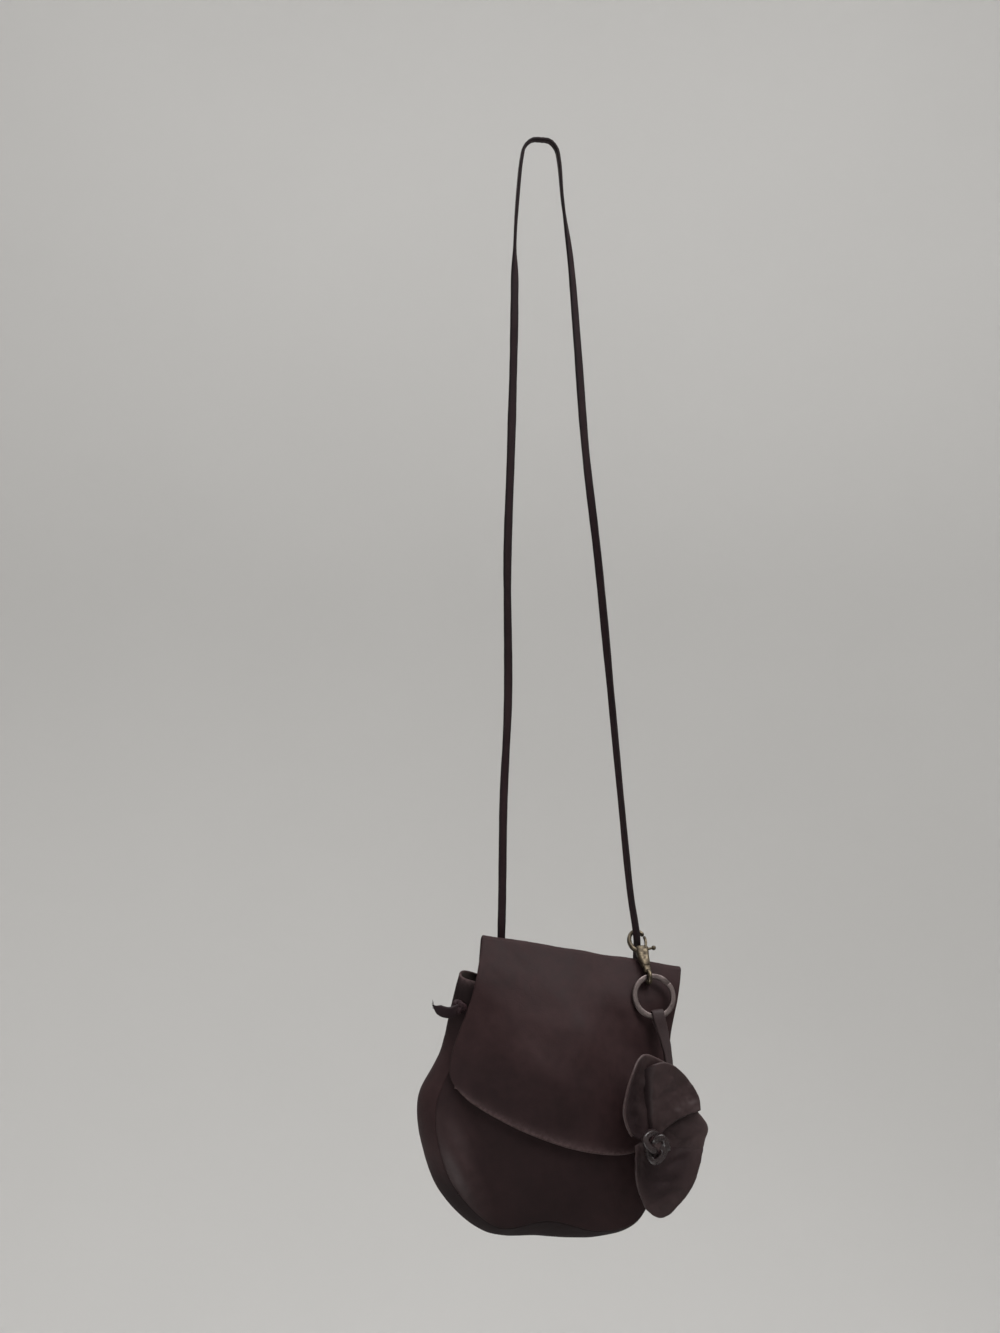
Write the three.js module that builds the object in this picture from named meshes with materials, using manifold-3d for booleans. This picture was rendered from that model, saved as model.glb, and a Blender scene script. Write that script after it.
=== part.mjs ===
// Soft leather crossbody bag hung by its strap, with a leather flower charm clipped round the strap.
// Units are millimetres, +Z is up and the front of the bag faces -Y.
// The origin lies under the strap's top bend, where the bag hangs.

import * as THREE from "three";
import { mergeVertices } from "three/addons/utils/BufferGeometryUtils.js";
import Module from "manifold-3d";

const wasm = await Module();
wasm.setup();

const radians = THREE.MathUtils.degToRad;
const clamp = THREE.MathUtils.clamp;
const point = (x, y, z) => new THREE.Vector3(x, y, z);

// Driving dimensions of the leather
const BAG_LEATHER = 1.8;
const PETAL_LEATHER = 1.6;
const SEAM_GAP = 0.36;
const STRAP = { width: 5.8, thickness: 2.4, chamfer: 0.7 };
const THONG = { width: 8.4, thickness: 1.6, chamfer: 0.4 };

// Where the bag hangs: the middle of its top fold, and how far its right side hangs lower
const FOLD_CENTRE = point(30.3, 0, -577.8);
const BAG_TILT = radians(11.1);
const FOLD_HALF_WIDTH = 73;
const FOLD_RADIUS = 4.5;
const FOLD_TURN = radians(135);
const FOLD_END_DROP = FOLD_RADIUS * (1 - Math.sin(FOLD_TURN));

// Inside the bag's own group x runs along the fold, and drop is the distance below the fold.
// Depth is how far a wall stands forward of the back. The fall at a side is how much less that is
// SPREAD away from the middle.
const SPREAD = 90;
const FRONT_FORM = [
  { drop: 20, crown: 20, fallLeft: 5, fallRight: 9 },
  { drop: 36, crown: 29, fallLeft: 14, fallRight: 26 },
  { drop: 48, crown: 37.5, fallLeft: 20, fallRight: 34 },
  { drop: 75, crown: 45, fallLeft: 20, fallRight: 32 },
  { drop: 100, crown: 50, fallLeft: 16, fallRight: 26 },
  { drop: 130, crown: 54, fallLeft: 14, fallRight: 20 },
  { drop: 160, crown: 54, fallLeft: 12, fallRight: 16 },
  { drop: 195, crown: 46, fallLeft: 10, fallRight: 12 },
];
const FLAP_FORM = [
  { drop: FOLD_END_DROP, crown: 7.7, fallLeft: 0, fallRight: 0 },
  { drop: 12, crown: 16.5, fallLeft: 2, fallRight: 4 },
  { drop: 24, crown: 26.2, fallLeft: 5, fallRight: 12 },
  { drop: 36, crown: 34.4, fallLeft: 11, fallRight: 25 },
  { drop: 48, crown: 41.4, fallLeft: 20, fallRight: 34 },
  { drop: 75, crown: 48.9, fallLeft: 20, fallRight: 32 },
  { drop: 100, crown: 53.9, fallLeft: 16, fallRight: 26 },
  { drop: 130, crown: 58.2, fallLeft: 14, fallRight: 20 },
];

// Soft ridges and dents that the flap and the front share, each a smooth hump along a line
const FOLDS = [
  { name: "dent under the charm", x: 31, drop: 48, turn: 50, length: 30, width: 13, height: -5 },
  { name: "swell beside the dent", x: 0, drop: 52, turn: 60, length: 28, width: 20, height: 3 },
  { name: "ridge across the flap", x: -24, drop: 76, turn: 23, length: 44, width: 15, height: 3.5 },
  { name: "ridge along the left seam", x: -69, drop: 144, turn: 54, length: 36, width: 12, height: 6.5 },
  { name: "valley inside the ridge", x: -46, drop: 140, turn: 56, length: 36, width: 17, height: -3 },
];

// Seams of the pouch on the left, from the mouth down to the middle of the bottom. The swell is how
// far the gusset stands out between its two seams.
const SEAMS = [
  { place: "mouth", drop: 27, half: 75, frontDrop: 28, frontHalf: 68, swell: 15 },
  { place: "neck", drop: 52, half: 77, frontDrop: 52, frontHalf: 72, swell: 13.5 },
  { place: "shoulder", drop: 84, half: 82, frontDrop: 82, frontHalf: 81, swell: 8 },
  { place: "belly", drop: 118, half: 91, frontDrop: 112, frontHalf: 89.5, swell: 9 },
  { place: "flank", drop: 146, half: 84, frontDrop: 140, frontHalf: 82, swell: 8 },
  { place: "corner", drop: 170, half: 68, frontDrop: 164, frontHalf: 65, swell: 9 },
  { place: "heel", drop: 187, half: 38, frontDrop: 184, frontHalf: 33, swell: 11 },
  { place: "bottom", drop: 188, half: 0, frontDrop: 174, frontHalf: 0, swell: 13.5 },
];

// On the right the pouch has collapsed: its seams lie nearer to the middle by the pinch, they hang
// lower by the sags, and the gusset lies nearly flat
const RIGHT_SIDE = [
  { place: "mouth", pinch: 0, sag: 0, frontSag: 0, swell: 1 },
  { place: "neck", pinch: 1, sag: 0, frontSag: 0, swell: 1 },
  { place: "shoulder", pinch: 3, sag: 0, frontSag: 0, swell: 2 },
  { place: "belly", pinch: 9, sag: 0, frontSag: 0, swell: 3 },
  { place: "flank", pinch: 10, sag: 2, frontSag: 2, swell: 1 },
  { place: "corner", pinch: 3, sag: 8, frontSag: 5, swell: 5.5 },
  { place: "heel", pinch: -3, sag: 1.5, frontSag: -6, swell: 8 },
];
const SIDE_STATIONS = 5;
const BOTTOM_STATIONS = 4;
const MOUTH_SAG = 12;

// The flap's free edge, from its left end on the fold round to its right end
const FLAP_EDGE = [
  { place: "left fold", x: -FOLD_HALF_WIDTH, drop: FOLD_END_DROP },
  { place: "left waist", x: -77, drop: 42 },
  { place: "left flare", x: -84, drop: 80 },
  { place: "left corner", x: -79, drop: 97.5 },
  { place: "left hem", x: -50, drop: 110 },
  { place: "middle hem", x: 0, drop: 120.5 },
  { place: "right hem", x: 44, drop: 121 },
  { place: "right corner", x: 69, drop: 108 },
  { place: "right flare", x: 72, drop: 84 },
  { place: "right waist", x: 70, drop: 42 },
  { place: "right fold", x: FOLD_HALF_WIDTH, drop: FOLD_END_DROP },
];
const FLAP_SIDE_STATIONS = 3;
const FLAP_HEM_STATIONS = 4;

// How finely the walls are divided
const GRID = { rows: 13, columns: 18, gussetRows: 5, neckRows: 2, foldRows: 4, flapRows: 13 };

// Finishes
const finish = (color, roughness, metalness) =>
  new THREE.MeshStandardMaterial({ color, roughness, metalness });
const BAG_FINISH = finish(0x3a2a2b, 0.55, 0);
const STRAP_FINISH = finish(0x35262a, 0.5, 0);
const CHARM_FINISH = finish(0x3d2f2e, 0.5, 0);
const BRASS_FINISH = finish(0x7a6444, 0.4, 1);
const NICKEL_FINISH = finish(0xa79a94, 0.3, 1);

// A geometry with nothing but merged positions, ready to be a closed solid
function weld(geometry) {
  const bare = new THREE.BufferGeometry();
  bare.setAttribute("position", geometry.getAttribute("position"));
  bare.setIndex(geometry.getIndex());
  return mergeVertices(bare, 1e-4);
}

function toSolid(geometry) {
  const welded = weld(geometry);
  return new wasm.Manifold(new wasm.Mesh({
    numProp: 3,
    vertProperties: Float32Array.from(welded.getAttribute("position").array),
    triVerts: Uint32Array.from(welded.getIndex().array),
  }));
}

function toGeometry(solid) {
  const mesh = solid.getMesh();
  const geometry = new THREE.BufferGeometry();
  geometry.setAttribute("position", new THREE.BufferAttribute(mesh.vertProperties, 3));
  geometry.setIndex(new THREE.BufferAttribute(mesh.triVerts, 1));
  return geometry;
}

const join = (...geometries) =>
  toGeometry(geometries.map(toSolid).reduce((whole, next) => whole.add(next)));
const cut = (geometry, ...cutters) =>
  toGeometry(cutters.map(toSolid).reduce((whole, next) => whole.subtract(next), toSolid(geometry)));

function piece(name, geometry, material) {
  const mesh = new THREE.Mesh(geometry, material);
  mesh.name = name;
  return mesh;
}

// A smooth value between the rows of a table: a cubic through one column, read at a real row number
function alongRows(rows, column, position) {
  const last = rows.length - 1;
  const row = clamp(Math.floor(position), 0, last - 1);
  const t = position - row;
  const value = (index) => rows[clamp(index, 0, last)][column];
  const [a, b, c, d] = [value(row - 1), value(row), value(row + 1), value(row + 2)];
  return b + 0.5 * t * (c - a + t * (2 * a - 5 * b + 4 * c - d + t * (3 * (b - c) + d - a)));
}

// A smooth value of one column at a given drop, with slopes taken from the rows on either side
function atDrop(rows, column, drop) {
  const last = rows.length - 1;
  const above = rows.findIndex((row) => row.drop > drop);
  const i = above < 0 ? last - 1 : clamp(above - 1, 0, last - 1);
  const slope = (index) => {
    const before = rows[Math.max(index - 1, 0)];
    const after = rows[Math.min(index + 1, last)];
    return (after[column] - before[column]) / (after.drop - before.drop);
  };
  const span = rows[i + 1].drop - rows[i].drop;
  const t = (drop - rows[i].drop) / span;
  const [p, q] = [rows[i][column], rows[i + 1][column]];
  const [m, n] = [slope(i) * span, slope(i + 1) * span];
  return p + t * (m + t * (3 * (q - p) - 2 * m - n + t * (2 * (p - q) + m + n)));
}

function foldHeight(x, drop) {
  return FOLDS.reduce((sum, fold) => {
    const [dx, dd] = [x - fold.x, drop - fold.drop];
    const [c, s] = [Math.cos(radians(fold.turn)), Math.sin(radians(fold.turn))];
    const along = (dx * c + dd * s) / fold.length;
    const across = (dd * c - dx * s) / fold.width;
    return sum + fold.height * Math.exp(-along * along - across * across);
  }, 0);
}

// A point of the pouch's front or of the flap, given its place on the front
function formPoint(form, x, drop) {
  const fall = atDrop(form, x < 0 ? "fallLeft" : "fallRight", drop);
  const depth = atDrop(form, "crown", drop) - fall * (x / SPREAD) ** 2 + foldHeight(x, drop);
  return point(x, -depth, -drop);
}

// Stations of both seams, from the left mouth round the bottom to the right mouth
const STATIONS = [
  ...SEAMS.map((row) => ({ ...row, x: -row.half, frontX: -row.frontHalf })),
  ...RIGHT_SIDE.map(({ pinch, sag, frontSag, swell }, i) => ({
    x: SEAMS[i].half - pinch,
    frontX: SEAMS[i].frontHalf - pinch,
    drop: SEAMS[i].drop + sag,
    frontDrop: SEAMS[i].frontDrop + frontSag,
    swell,
  })).reverse(),
];
const backSeam = (s) => [alongRows(STATIONS, "x", s), alongRows(STATIONS, "drop", s)];
const frontSeam = (s) => [alongRows(STATIONS, "frontX", s), alongRows(STATIONS, "frontDrop", s)];
const flapEdge = (s) => [alongRows(FLAP_EDGE, "x", s), alongRows(FLAP_EDGE, "drop", s)];

// The patch inside three edges and a top line: a runs from left to right and b from top to bottom
function patch(edge, top, sideStations, bottomStations) {
  const all = 2 * sideStations + bottomStations;
  const left = (b) => edge(b * sideStations);
  const bottom = (a) => edge(sideStations + a * bottomStations);
  const right = (b) => edge(all - b * sideStations);
  return (a, b) => [0, 1].map((axis) => {
    const sides = (1 - a) * left(b)[axis] + a * right(b)[axis];
    const ends = (1 - b) * top(a)[axis] + b * bottom(a)[axis];
    const upperCorners = (1 - a) * left(0)[axis] + a * right(0)[axis];
    const lowerCorners = (1 - a) * left(1)[axis] + a * right(1)[axis];
    return sides + ends - (1 - b) * upperCorners - b * lowerCorners;
  });
}

function grid(rows, columns, place) {
  return Array.from({ length: rows + 1 }, (_, r) =>
    Array.from({ length: columns + 1 }, (_, c) => place(r / rows, c / columns)));
}

// Outward normals of a grid: the cross product of its steps from row to row and along a row
function gridNormals(points) {
  const [lastRow, lastColumn] = [points.length - 1, points[0].length - 1];
  return points.map((line, r) => line.map((_, c) => {
    const down = points[Math.min(r + 1, lastRow)][c].clone().sub(points[Math.max(r - 1, 0)][c]);
    const across = line[Math.min(c + 1, lastColumn)].clone().sub(line[Math.max(c - 1, 0)]);
    return down.cross(across).normalize();
  }));
}

function insetGrid(points, normals, thickness) {
  return points.map((line, r) => line.map((p, c) => p.clone().addScaledVector(normals[r][c], -thickness)));
}

// A closed wall between an outer grid, an inner grid and the rim that joins them
function wall(outer, inner) {
  const [rows, columns] = [outer.length, outer[0].length];
  const positions = [...outer.flat(), ...inner.flat()].flatMap((p) => p.toArray());
  const at = (r, c) => r * columns + c;
  const under = rows * columns;
  const index = [];
  const quad = (a, b, c, d) => index.push(a, b, c, c, b, d);
  for (let r = 0; r < rows - 1; r += 1) {
    for (let c = 0; c < columns - 1; c += 1) {
      const [p, q, s, t] = [at(r, c), at(r + 1, c), at(r, c + 1), at(r + 1, c + 1)];
      quad(p, q, s, t);
      quad(under + p, under + s, under + q, under + t);
    }
  }
  for (let c = 0; c < columns - 1; c += 1) {
    const [top, bottom] = [at(0, c), at(rows - 1, c)];
    quad(top, top + 1, under + top, under + top + 1);
    quad(bottom, under + bottom, bottom + 1, under + bottom + 1);
  }
  for (let r = 0; r < rows - 1; r += 1) {
    const [left, right] = [at(r, 0), at(r, columns - 1)];
    quad(left, under + left, left + columns, under + left + columns);
    quad(right, right + columns, under + right, under + right + columns);
  }
  const geometry = new THREE.BufferGeometry();
  geometry.setAttribute("position", new THREE.Float32BufferAttribute(positions, 3));
  geometry.setIndex(index);
  return geometry;
}

// The outline of a strip with chamfered edges
function stripSection({ width, thickness, chamfer }, breadth) {
  const [w, t] = [width * breadth / 2, thickness / 2];
  return [
    [w, chamfer - t], [w, t - chamfer], [w - chamfer, t], [chamfer - w, t],
    [-w, t - chamfer], [-w, chamfer - t], [chamfer - w, -t], [w - chamfer, -t],
  ];
}

// A strip carried along a path, whose width lies along the given sides
function ribbon(centres, sides, breadths, strip) {
  const count = stripSection(strip, 1).length;
  const last = centres.length - 1;
  const positions = centres.flatMap((centre, i) => {
    const tangent = centres[Math.min(i + 1, last)].clone().sub(centres[Math.max(i - 1, 0)]).normalize();
    const side = sides[i].clone().addScaledVector(tangent, -sides[i].dot(tangent)).normalize();
    const face = tangent.clone().cross(side);
    return stripSection(strip, breadths[i]).flatMap(([a, b]) =>
      centre.clone().addScaledVector(side, a).addScaledVector(face, b).toArray());
  });
  const index = [];
  for (let i = 0; i < last; i += 1) {
    for (let j = 0; j < count; j += 1) {
      const [a, b] = [i * count + j, i * count + (j + 1) % count];
      index.push(a, b, a + count, b, b + count, a + count);
    }
  }
  for (let j = 1; j < count - 1; j += 1) {
    index.push(0, j + 1, j, last * count, last * count + j, last * count + j + 1);
  }
  const geometry = new THREE.BufferGeometry();
  geometry.setAttribute("position", new THREE.Float32BufferAttribute(positions, 3));
  geometry.setIndex(index);
  return geometry;
}

// A ribbon through waypoints, each with a place, the direction of the width and its share of the breadth
function ribbonThrough(waypoints, strip, stepLength, mostSteps) {
  const curve = new THREE.CatmullRomCurve3(waypoints.map((way) => way.place), false, "centripetal");
  const last = waypoints.length - 1;
  const centres = [];
  const sides = [];
  const breadths = [];
  for (let i = 0; i < last; i += 1) {
    const [from, to] = [waypoints[i], waypoints[i + 1]];
    const steps = clamp(Math.round(from.place.distanceTo(to.place) / stepLength), 1, mostSteps);
    const stops = i === last - 1 ? steps + 1 : steps;
    for (let k = 0; k < stops; k += 1) {
      const f = k / steps;
      centres.push(curve.getPoint((i + f) / last));
      sides.push(from.side.clone().lerp(to.side, f * f * (3 - 2 * f)).normalize());
      breadths.push(THREE.MathUtils.lerp(from.breadth ?? 1, to.breadth ?? 1, f));
    }
  }
  return ribbon(centres, sides, breadths, strip);
}

// The pouch and flap

const frontPatch = patch(
  frontSeam,
  (a) => {
    const [x, drop] = frontSeam(0);
    return [x * (1 - 2 * a), drop + MOUTH_SAG * 4 * a * (1 - a)];
  },
  SIDE_STATIONS,
  BOTTOM_STATIONS,
);
const backPatch = patch(
  backSeam,
  (a) => [backSeam(0)[0] * (1 - 2 * a), backSeam(0)[1]],
  SIDE_STATIONS,
  BOTTOM_STATIONS,
);
const flapPatch = patch(
  flapEdge,
  (a) => [FOLD_HALF_WIDTH * (2 * a - 1), FOLD_END_DROP],
  FLAP_SIDE_STATIONS,
  FLAP_HEM_STATIONS,
);

const LAST_STATION = STATIONS.length - 1;
const GUSSET_COLUMNS = 2 * GRID.rows + GRID.columns;

// Which station of the seams a column of the gusset stands at
function stationOf(column) {
  if (column <= GRID.rows) {
    return SIDE_STATIONS * column / GRID.rows;
  }
  if (column <= GRID.rows + GRID.columns) {
    return SIDE_STATIONS + BOTTOM_STATIONS * (column - GRID.rows) / GRID.columns;
  }
  return LAST_STATION - SIDE_STATIONS * (GUSSET_COLUMNS - column) / GRID.rows;
}

// A point of the gusset: v runs from the front seam to the back seam
function gussetPoint(s, v) {
  const front = formPoint(FRONT_FORM, ...frontSeam(s));
  const [x, drop] = backSeam(s);
  const back = point(x, 0, -drop);
  const nearby = 0.05;
  const [ax, ad] = backSeam(Math.max(s - nearby, 0));
  const [bx, bd] = backSeam(Math.min(s + nearby, LAST_STATION));
  const outward = point(ad - bd, 0, ax - bx).normalize();
  const swell = alongRows(STATIONS, "swell", s) * Math.sin(Math.PI * v);
  return front.lerp(back, v).addScaledVector(outward, swell);
}

// The places round a panel's left, bottom and right edges, in the order of the gusset's columns
function edgePlaces(rowOf) {
  return Array.from({ length: GUSSET_COLUMNS + 1 }, (_, k) => {
    if (k <= GRID.rows) {
      return [rowOf(k), 0];
    }
    if (k <= GRID.rows + GRID.columns) {
      return [rowOf(GRID.rows), k - GRID.rows];
    }
    return [rowOf(GUSSET_COLUMNS - k), GRID.columns];
  });
}

function frontGrid() {
  return grid(GRID.rows, GRID.columns, (b, a) => formPoint(FRONT_FORM, ...frontPatch(a, b)));
}

function gussetGrid() {
  return grid(GRID.gussetRows, GUSSET_COLUMNS, (v, k) => gussetPoint(stationOf(k * GUSSET_COLUMNS), v));
}

// The back from its bottom up to the mouth, then the neck, the fold and the flap down to its hem
function backAndFlapGrid() {
  const back = grid(GRID.rows, GRID.columns, (b, a) => {
    const [x, drop] = backPatch(a, 1 - b);
    return point(x, 0, -drop);
  });
  const [mouthHalf, mouthDrop] = [SEAMS[0].half, SEAMS[0].drop];
  const neck = grid(GRID.neckRows, GRID.columns, (b, a) => {
    const half = THREE.MathUtils.lerp(mouthHalf, FOLD_HALF_WIDTH, b);
    return point(half * (2 * a - 1), 0, -THREE.MathUtils.lerp(mouthDrop, FOLD_RADIUS, b));
  });
  const fold = grid(GRID.foldRows, GRID.columns, (b, a) => {
    const turn = FOLD_TURN * b;
    const forward = FOLD_RADIUS * (1 - Math.cos(turn));
    return point(FOLD_HALF_WIDTH * (2 * a - 1), -forward, FOLD_RADIUS * (Math.sin(turn) - 1));
  });
  const flap = grid(GRID.flapRows, GRID.columns, (b, a) => formPoint(FLAP_FORM, ...flapPatch(a, b)));
  return [...back, ...neck.slice(1), ...fold.slice(1), ...flap.slice(1)];
}

// Where two walls meet at a seam, both are cut back to the plane that halves the angle between them
function mitreSeam(first, second) {
  first.places.forEach(([r, c], k) => {
    const [r2, c2] = second.places[k];
    const [n1, n2] = [first.normals[r][c], second.normals[r2][c2]];
    const across = n1.clone().add(n2).multiplyScalar(BAG_LEATHER / (1 + n1.dot(n2)));
    const pullLength = SEAM_GAP / Math.sqrt(2 + 2 * n1.dot(n2));
    const seam = first.outer[r][c].clone();
    for (const [part, row, column] of [[first, r, c], [second, r2, c2]]) {
      const [backRow, backColumn] = part.behind(row, column);
      const pull = part.outer[backRow][backColumn].clone().sub(seam).setLength(pullLength);
      part.outer[row][column] = seam.clone().add(pull);
      part.inner[row][column] = seam.clone().sub(across).add(pull);
    }
  });
}

function panel(outer) {
  const normals = gridNormals(outer);
  return { outer, normals, inner: insetGrid(outer, normals, BAG_LEATHER) };
}

// The neighbour of an edge place that lies inside the panel
function insideNeighbour(bottomRow, step) {
  return (r, c) => {
    if (r === bottomRow && c > 0 && c < GRID.columns) {
      return [r + step, c];
    }
    return [r === bottomRow ? r + step : r, c === 0 ? 1 : GRID.columns - 1];
  };
}

const front = panel(frontGrid());
const gusset = panel(gussetGrid());
const backAndFlap = panel(backAndFlapGrid());
const gussetRow = (row) => Array.from({ length: GUSSET_COLUMNS + 1 }, (_, k) => [row, k]);
mitreSeam(
  { ...front, places: edgePlaces((k) => k), behind: insideNeighbour(GRID.rows, -1) },
  { ...gusset, places: gussetRow(0), behind: (r, c) => [1, c] },
);
mitreSeam(
  { ...backAndFlap, places: edgePlaces((k) => GRID.rows - k), behind: insideNeighbour(0, 1) },
  { ...gusset, places: gussetRow(GRID.gussetRows), behind: (r, c) => [GRID.gussetRows - 1, c] },
);

// Slots in the back for the strap, and the hole in the left gusset where its end comes out
const SLOT = { x: 53, drop: 39.6, width: 8.4, height: 9.6 };
const STRAP_HOLE = { station: 0.95, v: 0.22, radius: 4.1, sides: 14 };
const CUTTER_LENGTH = 14;

function slotCutter(x) {
  const cutter = new THREE.BoxGeometry(SLOT.width, CUTTER_LENGTH, SLOT.height);
  return cutter.translate(x, 0, -SLOT.drop);
}

const holeCentre = gussetPoint(STRAP_HOLE.station, STRAP_HOLE.v);
const holeOutward = (() => {
  const nearby = 0.05;
  const { station, v } = STRAP_HOLE;
  const back = gussetPoint(station, v + nearby).sub(gussetPoint(station, v - nearby));
  const down = gussetPoint(station + nearby, v).sub(gussetPoint(station - nearby, v));
  return back.cross(down).normalize();
})();

function holeCutter() {
  const cutter = new THREE.CylinderGeometry(
    STRAP_HOLE.radius, STRAP_HOLE.radius, CUTTER_LENGTH, STRAP_HOLE.sides);
  const aim = new THREE.Quaternion().setFromUnitVectors(point(0, 1, 0), holeOutward);
  return cutter.applyQuaternion(aim).translate(...holeCentre.toArray());
}

const bag = new THREE.Group();
bag.position.copy(FOLD_CENTRE);
bag.rotation.y = BAG_TILT;
bag.add(
  piece("back_and_flap", cut(wall(backAndFlap.outer, backAndFlap.inner),
    slotCutter(-SLOT.x), slotCutter(SLOT.x)), BAG_FINISH),
  piece("front_panel", wall(front.outer, front.inner), BAG_FINISH),
  piece("gusset", cut(wall(gusset.outer, gusset.inner), holeCutter()), BAG_FINISH),
);
bag.updateMatrixWorld();

// The strap

// Its two runs and the bend between them. The turn is 0 where the strap lies flat to the front and
// 90 where it stands edge on.
const STRAP_RUNS = [
  { x: -27.6, y: 2.6, z: -567, turn: 0 },
  { x: -27.2, y: 1.4, z: -541, turn: 0 },
  { x: -26.4, y: 0, z: -470, turn: 5 },
  { x: -23.2, y: 0, z: -398, turn: 0 },
  { x: -23.6, y: 0, z: -299, turn: 5 },
  { x: -21, y: 0, z: -220, turn: 10 },
  { x: -18.9, y: 0, z: -142, turn: 0 },
  { x: -18.4, y: 0, z: -105, turn: 20 },
  { x: -18.1, y: 0, z: -71, turn: 80 },
  { x: -16.2, y: 0, z: -40, turn: 90 },
  { x: -13.4, y: 0, z: -13, turn: 90 },
  { x: -11.2, y: 0, z: -4.2, turn: 90 },
  { x: -6, y: 0, z: 0.8, turn: 90 },
  { x: 0.5, y: 0, z: 1.5, turn: 90 },
  { x: 7, y: 0, z: 0.8, turn: 90 },
  { x: 11.8, y: 0, z: -4.2, turn: 90 },
  { x: 13.9, y: 0, z: -13, turn: 90 },
  { x: 16.4, y: 0, z: -40, turn: 80 },
  { x: 22.3, y: 0, z: -83, turn: 40 },
  { x: 27.1, y: 0, z: -140, turn: 15 },
  { x: 33.3, y: 0, z: -219, turn: 0 },
  { x: 42.6, y: 0, z: -298, turn: -25 },
  { x: 52.6, y: 0, z: -399, turn: -55 },
  { x: 59.6, y: 0, z: -471, turn: -65 },
  { x: 66.6, y: -0.8, z: -540, turn: -62 },
  { x: 69.9, y: -2.8, z: -564, turn: -58 },
  { x: 71.4, y: -0.6, z: -574, turn: -62 },
  { x: 72.4, y: 4.2, z: -588, turn: -62 },
];
const STRAP_STEPS = { length: 8, most: 3 };

// Ways at the strap's ends, in the bag's own group: down behind the back, through a slot and inside
const flat = point(1, 0, 0);
const upright = point(0, 0, 1);
const halfTurned = point(1, -0.7, 0).normalize();
const bagWay = (x, y, drop, side) => ({
  place: bag.localToWorld(point(x, y, -drop)),
  side: side.clone().transformDirection(bag.matrixWorld),
});

const KNOT = { reach: 5, ring: 3.4, tube: 2.9, sides: 7, steps: 12, lump: 4.6 };
const TAIL_TIP = point(-101, -19, -51);
const knotCentre = holeCentre.clone().addScaledVector(holeOutward, KNOT.reach);
const holeInside = holeCentre.clone().addScaledVector(holeOutward, -6);
const tailMiddle = knotCentre.clone().lerp(TAIL_TIP, 0.5);
const localWay = (place, side) => bagWay(place.x, place.y, -place.z, side);

const leftEnd = [
  localWay(TAIL_TIP, upright),
  localWay(tailMiddle, upright),
  localWay(knotCentre, upright),
  localWay(holeCentre, upright),
  localWay(holeInside, upright),
  bagWay(-63, -9.5, 43, upright),
  bagWay(-56, -5.5, 41.4, halfTurned.clone().add(upright).normalize()),
  bagWay(-SLOT.x, -0.9, SLOT.drop, flat),
  bagWay(-SLOT.x, 2, 35, flat),
  bagWay(-54.5, 2.4, 26, flat),
];
const INNER_KNOT = point(SLOT.x + 1, -11, -44);
const rightEnd = [
  bagWay(48.5, 4.2, 16, halfTurned),
  bagWay(51.5, 2.8, 28, flat),
  bagWay(SLOT.x, 2, 35, flat),
  bagWay(SLOT.x, -0.9, SLOT.drop, flat),
  bagWay(SLOT.x, -5.5, 42.4, flat),
  localWay(INNER_KNOT, flat),
];

function runWay({ x, y, z, turn }) {
  return { place: point(x, y, z), side: point(Math.cos(radians(turn)), Math.sin(radians(turn)), 0) };
}

// A knot as a fat ring round a lump, with its axis along the strap
function knotShapes(centre, axis) {
  const turn = new THREE.Quaternion().setFromUnitVectors(point(0, 0, 1), axis);
  const shapes = [
    new THREE.TorusGeometry(KNOT.ring, KNOT.tube, KNOT.sides, KNOT.steps),
    new THREE.SphereGeometry(KNOT.lump, 10, 6),
  ];
  return shapes.map((shape) => shape.applyQuaternion(turn).translate(...centre.toArray()));
}

function strapGeometry() {
  const ways = [...leftEnd, ...STRAP_RUNS.map(runWay), ...rightEnd];
  const lace = ribbonThrough(ways, STRAP, STRAP_STEPS.length, STRAP_STEPS.most);
  const outerAxis = holeOutward.clone().transformDirection(bag.matrixWorld);
  const innerAxis = point(0, -1, 0);
  return join(
    lace,
    ...knotShapes(bag.localToWorld(knotCentre.clone()), outerAxis),
    ...knotShapes(bag.localToWorld(INNER_KNOT.clone()), innerAxis),
  );
}

// The clasp

// It leans back over the fold. Its own x runs to the right and its own z from the eye up to the claw.
const EYE = point(74.4, -20.2, -594.4);
const CLASP_LEAN = radians(41.6);
const EYE_RING = { hole: 2.7, wire: 1.5 };
const CLAW = { x: -2.9, z: 28.4, outerX: 7.3, outerZ: 9, innerX: 4.7, innerZ: 6.6, thickness: 4 };
const CLAW_END = { from: -42, outerTo: 26.5, innerTo: 40.5 };
const GATE_ARM = { from: -56, outerTo: 25.5, innerTo: 34, inset: 0.35 };
const CLASP_BODY = { bottom: 8.4, top: 23.5, lowHalf: 2.3, highHalf: 4.1, x: -0.6, thickness: 6.2 };
const CLASP_NECK = { radius: 1.9, bottom: 3.6, top: 10 };
const GATE = { thickness: 2.6, slot: 3.2, clearance: 0.3, boss: 2.1, hole: 1.2, pin: 0.95 };
const PIVOT = { x: 1.7, z: 21.8 };
const NUB = { x: 8.1, z: 22.6, radius: 1.7, arm: 0.9 };
const CURVE_SEGMENTS = 10;

// A flat outline in the clasp's x and z, made as thick as asked and centred on its plane
function plate(shape, thickness, curveSegments) {
  const settings = { depth: thickness, bevelEnabled: false, curveSegments };
  const geometry = new THREE.ExtrudeGeometry(shape, settings);
  return geometry.translate(0, 0, -thickness / 2).rotateX(Math.PI / 2);
}

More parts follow.
